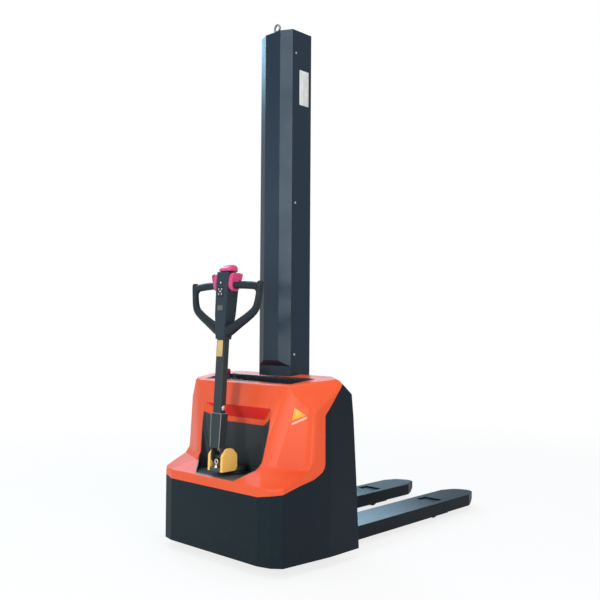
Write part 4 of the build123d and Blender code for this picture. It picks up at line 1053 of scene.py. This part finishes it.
# Lift chain: leaf links, four and three plates by turns; the run in front of the sheave is fixed at the foot
chainLook = dict(
    wide=8, tall=6, thick=1.9, pitch=19.05, pin=2.6, even=(-6.9, -2.3, 2.3, 6.9), odd=(-4.6, 0, 4.6),
    endSteps=6, wrapSteps=6, sheave=(412, 1293), reach=36, foot=90.3, end=300.3, rise=920, slim=0.8)


def chainLinks(bm, pins, slim=1.0):
    look = chainLook
    radius = look["tall"] * slim
    wide = look["wide"] * slim
    for index, (first, second) in enumerate(zip(pins, pins[1:])):
        turn = math.atan2(second[1] - first[1], second[0] - first[0])
        for x in (look["even"] if index % 2 else look["odd"]):
            rings = []
            for offset in (-look["thick"] / 2, look["thick"] / 2):
                ring = []
                for centre, start in ((second, -90), (first, 90)):
                    for step in range(look["endSteps"] + 1):
                        angle = turn + math.radians(start + step * 180 / look["endSteps"])
                        y = centre[0] + radius * math.cos(angle)
                        z = centre[1] + radius * math.sin(angle)
                        ring.append(bm.verts.new(metres((x * slim + offset, y, z))))
                rings.append(ring)
            loftRings(bm, rings)
    for y, z in pins:
        turned(bm, (-wide, y, z), (1, 0, 0), [(0, look["pin"]), (2 * wide, look["pin"])], 10)


def chainRun(y, top, low):
    count = max(1, round((top - low) / chainLook["pitch"]))
    return [(y, top + (low - top) * step / count) for step in range(count + 1)]


def liftChain():
    look = chainLook
    middle = frontY + look["sheave"][0]
    high = look["sheave"][1]
    reach = look["reach"]
    near = middle - reach
    far = middle + reach
    bm = bmesh.new()
    chainLinks(bm, chainRun(near, high, look["foot"]))
    addPiece("chainFixed", bm, "chainSteel", "chassis")
    bm = bmesh.new()
    angles = [math.pi * step / look["wrapSteps"] for step in range(look["wrapSteps"] + 1)]
    chainLinks(bm, [(middle - reach * math.cos(angle), high + reach * math.sin(angle)) for angle in angles])
    # slim, so that it hides in the fixed run until the ram rises
    chainLinks(bm, chainRun(near, high, high - look["rise"]), look["slim"])
    addPiece("chainWrap", bm, "chainSteel", "ram", None, ("lift_chain",))
    bm = bmesh.new()
    chainLinks(bm, chainRun(far, high, look["end"]))
    run = addPiece("chainRun", bm, "chainSteel", "ram")
    full = high - look["end"]
    keep = (full - look["rise"]) / full  # what is left behind the sheave at full lift
    far / 1000
    high / 1000
    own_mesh(run)


liftChain()

# Carriage, rear plate and forks: bolts, weld beads, guards over the load rollers
boltLook = dict(
    carriageBack=515, carriage=[(-62, 375), (62, 375), (-62, 425), (62, 425)],
    carriageRadius=8, carriageTall=5,
    plateBack=424, plate=[(150, 120), (360, 120), (150, 420), (375, 420), (130, 690), (345, 690)],
    plateRadius=6, plateTall=4)
weldLook = dict(forkX=(114, 282), heelBack=540, bladeTop=88, lift=0.6, shankIn=1.6, shankBack=0.8,
                shankLow=110, shankTop=328, bead=3.6, steps=40, least=0.82, swell=0.18, ripple=2.1)
guardLook = dict(inner=140, outer=256, near=390, far=520, low=77.6, high=81.5, edge=0.8)


def bolts():
    look = boltLook
    bm = bmesh.new()
    for x, z in look["carriage"]:
        centre = (x, frontY + look["carriageBack"], z)
        hexBolt(bm, centre, (0, 1, 0), look["carriageRadius"], look["carriageTall"])
    addPiece("carriageBolts", bm, "zincSilver", "carriage")
    bm = bmesh.new()
    for side in (-1, 1):
        for x, z in look["plate"]:
            centre = (side * x, frontY + look["plateBack"], z)
            hexBolt(bm, centre, (0, 1, 0), look["plateRadius"], look["plateTall"])
    addPiece("plateBolts", bm, "zincSilver", "chassis")


def forkWelds():
    look = weldLook
    steps = range(look["steps"] + 1)
    swells = [look["swell"] * math.sin(step * look["ripple"]) for step in steps]
    radii = [look["bead"] * (look["least"] + swell) for swell in swells]
    start, end = look["forkX"]
    heel = frontY + look["heelBack"] + look["lift"]
    blade = look["bladeTop"] + look["lift"]
    shank = start - look["shankIn"]
    back = frontY + boltLook["carriageBack"] + look["shankBack"]
    bm = bmesh.new()
    for side in (-1, 1):
        runs = [((side * start, heel, blade), (side * end, heel, blade)),
                ((side * shank, back, look["shankLow"]), (side * shank, back, look["shankTop"]))]
        for low, high in runs:
            path = [Vector(low).lerp(Vector(high), step / look["steps"]) for step in steps]
            pipe(bm, path, radii, 10)
    addPiece("forkWelds", bm, "forkPaint", "carriage")


def rollerGuards():
    look = guardLook
    bm = bmesh.new()
    for side in (-1, 1):
        left, right = sorted((side * look["inner"], side * look["outer"]))
        roundedBlock(bm, (left, look["near"], look["low"]), (right, look["far"], look["high"]), look["edge"])
    addPiece("rollerGuards", bm, "forkPaint", "chassis")


bolts()
forkWelds()
rollerGuards()
print("lift details built")

# Camera solved from the photograph's straight edges
cameraLook = dict(place=(2.5219, -2.9913, 0.9818), up=(0.0189, -0.0292, 0.9994),
                  look=(-0.6855, 0.7273, 0.0342), lens=46.93, sensor=36, farthest=200)


def addCamera():
    look = cameraLook
    data = bpy.data.cameras.new("photoCamera")
    data.sensor_width = look["sensor"]
    data.sensor_fit = "HORIZONTAL"
    data.lens = look["lens"]
    data.clip_end = look["farthest"]
    obj = bpy.data.objects.new("photoCamera", data)
    bpy.context.scene.collection.objects.link(obj)
    back = -Vector(look["look"]).normalized()
    right = Vector(look["up"]).cross(back).normalized()
    up = back.cross(right).normalized()
    turn = Matrix((right, up, back)).transposed().to_4x4()
    obj.matrix_world = Matrix.Translation(look["place"]) @ turn
    bpy.context.scene.camera = obj


addCamera()

# Studio: large soft lamps, pale floor, white surroundings
lampLooks = {
    "frontSoftbox": dict(place=(0.8, -5.4, 2.5), aim=(0, -0.4, 1.5), size=(0.9, 4.0), power=124,
                         tone=(0.80, 0.94, 1.0)),
    "cornerSoftbox": dict(place=(-4.2, -4.4, 1.8), aim=(0, -0.5, 1.1), size=(2.0, 3.0), power=24,
                          tone=(0.66, 0.86, 1.0)),
    "leftSoftbox": dict(place=(-7.6, 1.6, 6.4), aim=(-0.1, -0.7, 0.4), size=(3.6, 3.6), power=310,
                        tone=(0.36, 0.74, 1.0)),
    "rightSoftbox": dict(place=(4.6, -1.6, 1.9), aim=(0, -0.5, 0.7), size=(1.6, 2.0), power=56,
                         tone=(1.0, 0.98, 0.94)),
    "topSoftbox": dict(place=(0.4, -0.8, 4.8), aim=(0, -0.3, 0.5), size=(3.4, 3.4), power=74,
                       tone=(1.0, 0.99, 0.98)),
    "rearWall": dict(place=(-8.8, 8.0, 2.2), aim=(0, 0, 0.5), size=(6.5, 3.6), power=230,
                     tone=(0.46, 0.78, 1.0)),
}


def addLamp(name, look):
    data = bpy.data.lights.new(name, "AREA")
    data.shape = "RECTANGLE"
    data.size, data.size_y = look["size"]
    data.energy = look["power"]
    data.color = look["tone"]
    obj = bpy.data.objects.new(name, data)
    bpy.context.scene.collection.objects.link(obj)
    obj.visible_camera = False
    aim = Vector(look["aim"]) - Vector(look["place"])
    obj.matrix_world = Matrix.Translation(look["place"]) @ aim.to_track_quat("-Z", "Y").to_matrix().to_4x4()


for name, look in lampLooks.items():
    addLamp(name, look)

# fill: light of the world; mirror and floorMirror: share of white that glossy faces see
studioLook = dict(fill=0.50, mirror=0.15, floorRadius=45, floorColour=(0.86, 0.86, 0.86), floorNear=0.80,
                  floorReach=(1.5, 4.5), floorMirror=0.30)


def addWorld():
    world = bpy.data.worlds.new("studioWorld")
    bpy.context.scene.world = world
    world.use_nodes = True
    tree = world.node_tree
    tree.nodes.clear()
    path = tree.nodes.new("ShaderNodeLightPath")
    seen = Value(tree, path.outputs["Is Camera Ray"])
    mirrored = Value(tree, path.outputs["Is Glossy Ray"])
    through = Value(tree, path.outputs["Is Transmission Ray"])
    shade = tree.nodes.new("ShaderNodeBackground")
    shade.inputs["Color"].default_value = (1, 1, 1, 1)
    shown = (seen + through + mirrored * studioLook["mirror"]).atMost(1.0)
    strength = studioLook["fill"] + shown * (1.0 - studioLook["fill"])
    tree.links.new(strength.socket, shade.inputs["Strength"])
    out = tree.nodes.new("ShaderNodeOutputWorld")
    tree.links.new(shade.outputs[0], out.inputs["Surface"])


addWorld()


# the floor keeps the shadow near the machine and turns white farther out
def addFloor():
    look = studioLook
    bm = bmesh.new()
    bmesh.ops.create_circle(bm, cap_ends=True, radius=look["floorRadius"], segments=96)
    mesh = bpy.data.meshes.new("studioFloor")
    bm.to_mesh(mesh)
    bm.free()
    obj = bpy.data.objects.new("studioFloor", mesh)
    bpy.context.scene.collection.objects.link(obj)
    finish = Finish("floorPale")
    finish.set(base=look["floorColour"], rough=0.9, level=0.1)
    path = finish.tree.nodes.new("ShaderNodeLightPath")
    seen = Value(finish.tree, path.outputs["Is Camera Ray"])
    mirrored = Value(finish.tree, path.outputs["Is Glossy Ray"])
    glow = finish.node("Emission", sockets={"Color": (1, 1, 1), "Strength": 1.0})
    distance = finish.node("VectorMath", {"operation": "LENGTH"}, {0: finish.place()}, "Value")
    far = finish.band(distance, *look["floorReach"])
    near = look["floorNear"]
    factor = (seen * (near + far * (1.0 - near)) + mirrored * look["floorMirror"]).atMost(1.0)
    surface = Value(finish.tree, finish.shader.outputs[0])
    mixed = finish.node("MixShader", sockets={0: factor, 1: surface, 2: glow})
    out = finish.tree.nodes["Material Output"]
    finish.tree.links.new(mixed.socket, out.inputs["Surface"])
    mesh.materials.append(finish.material)


addFloor()
bpy.context.scene.view_settings.view_transform = "Standard"
print("studio set")
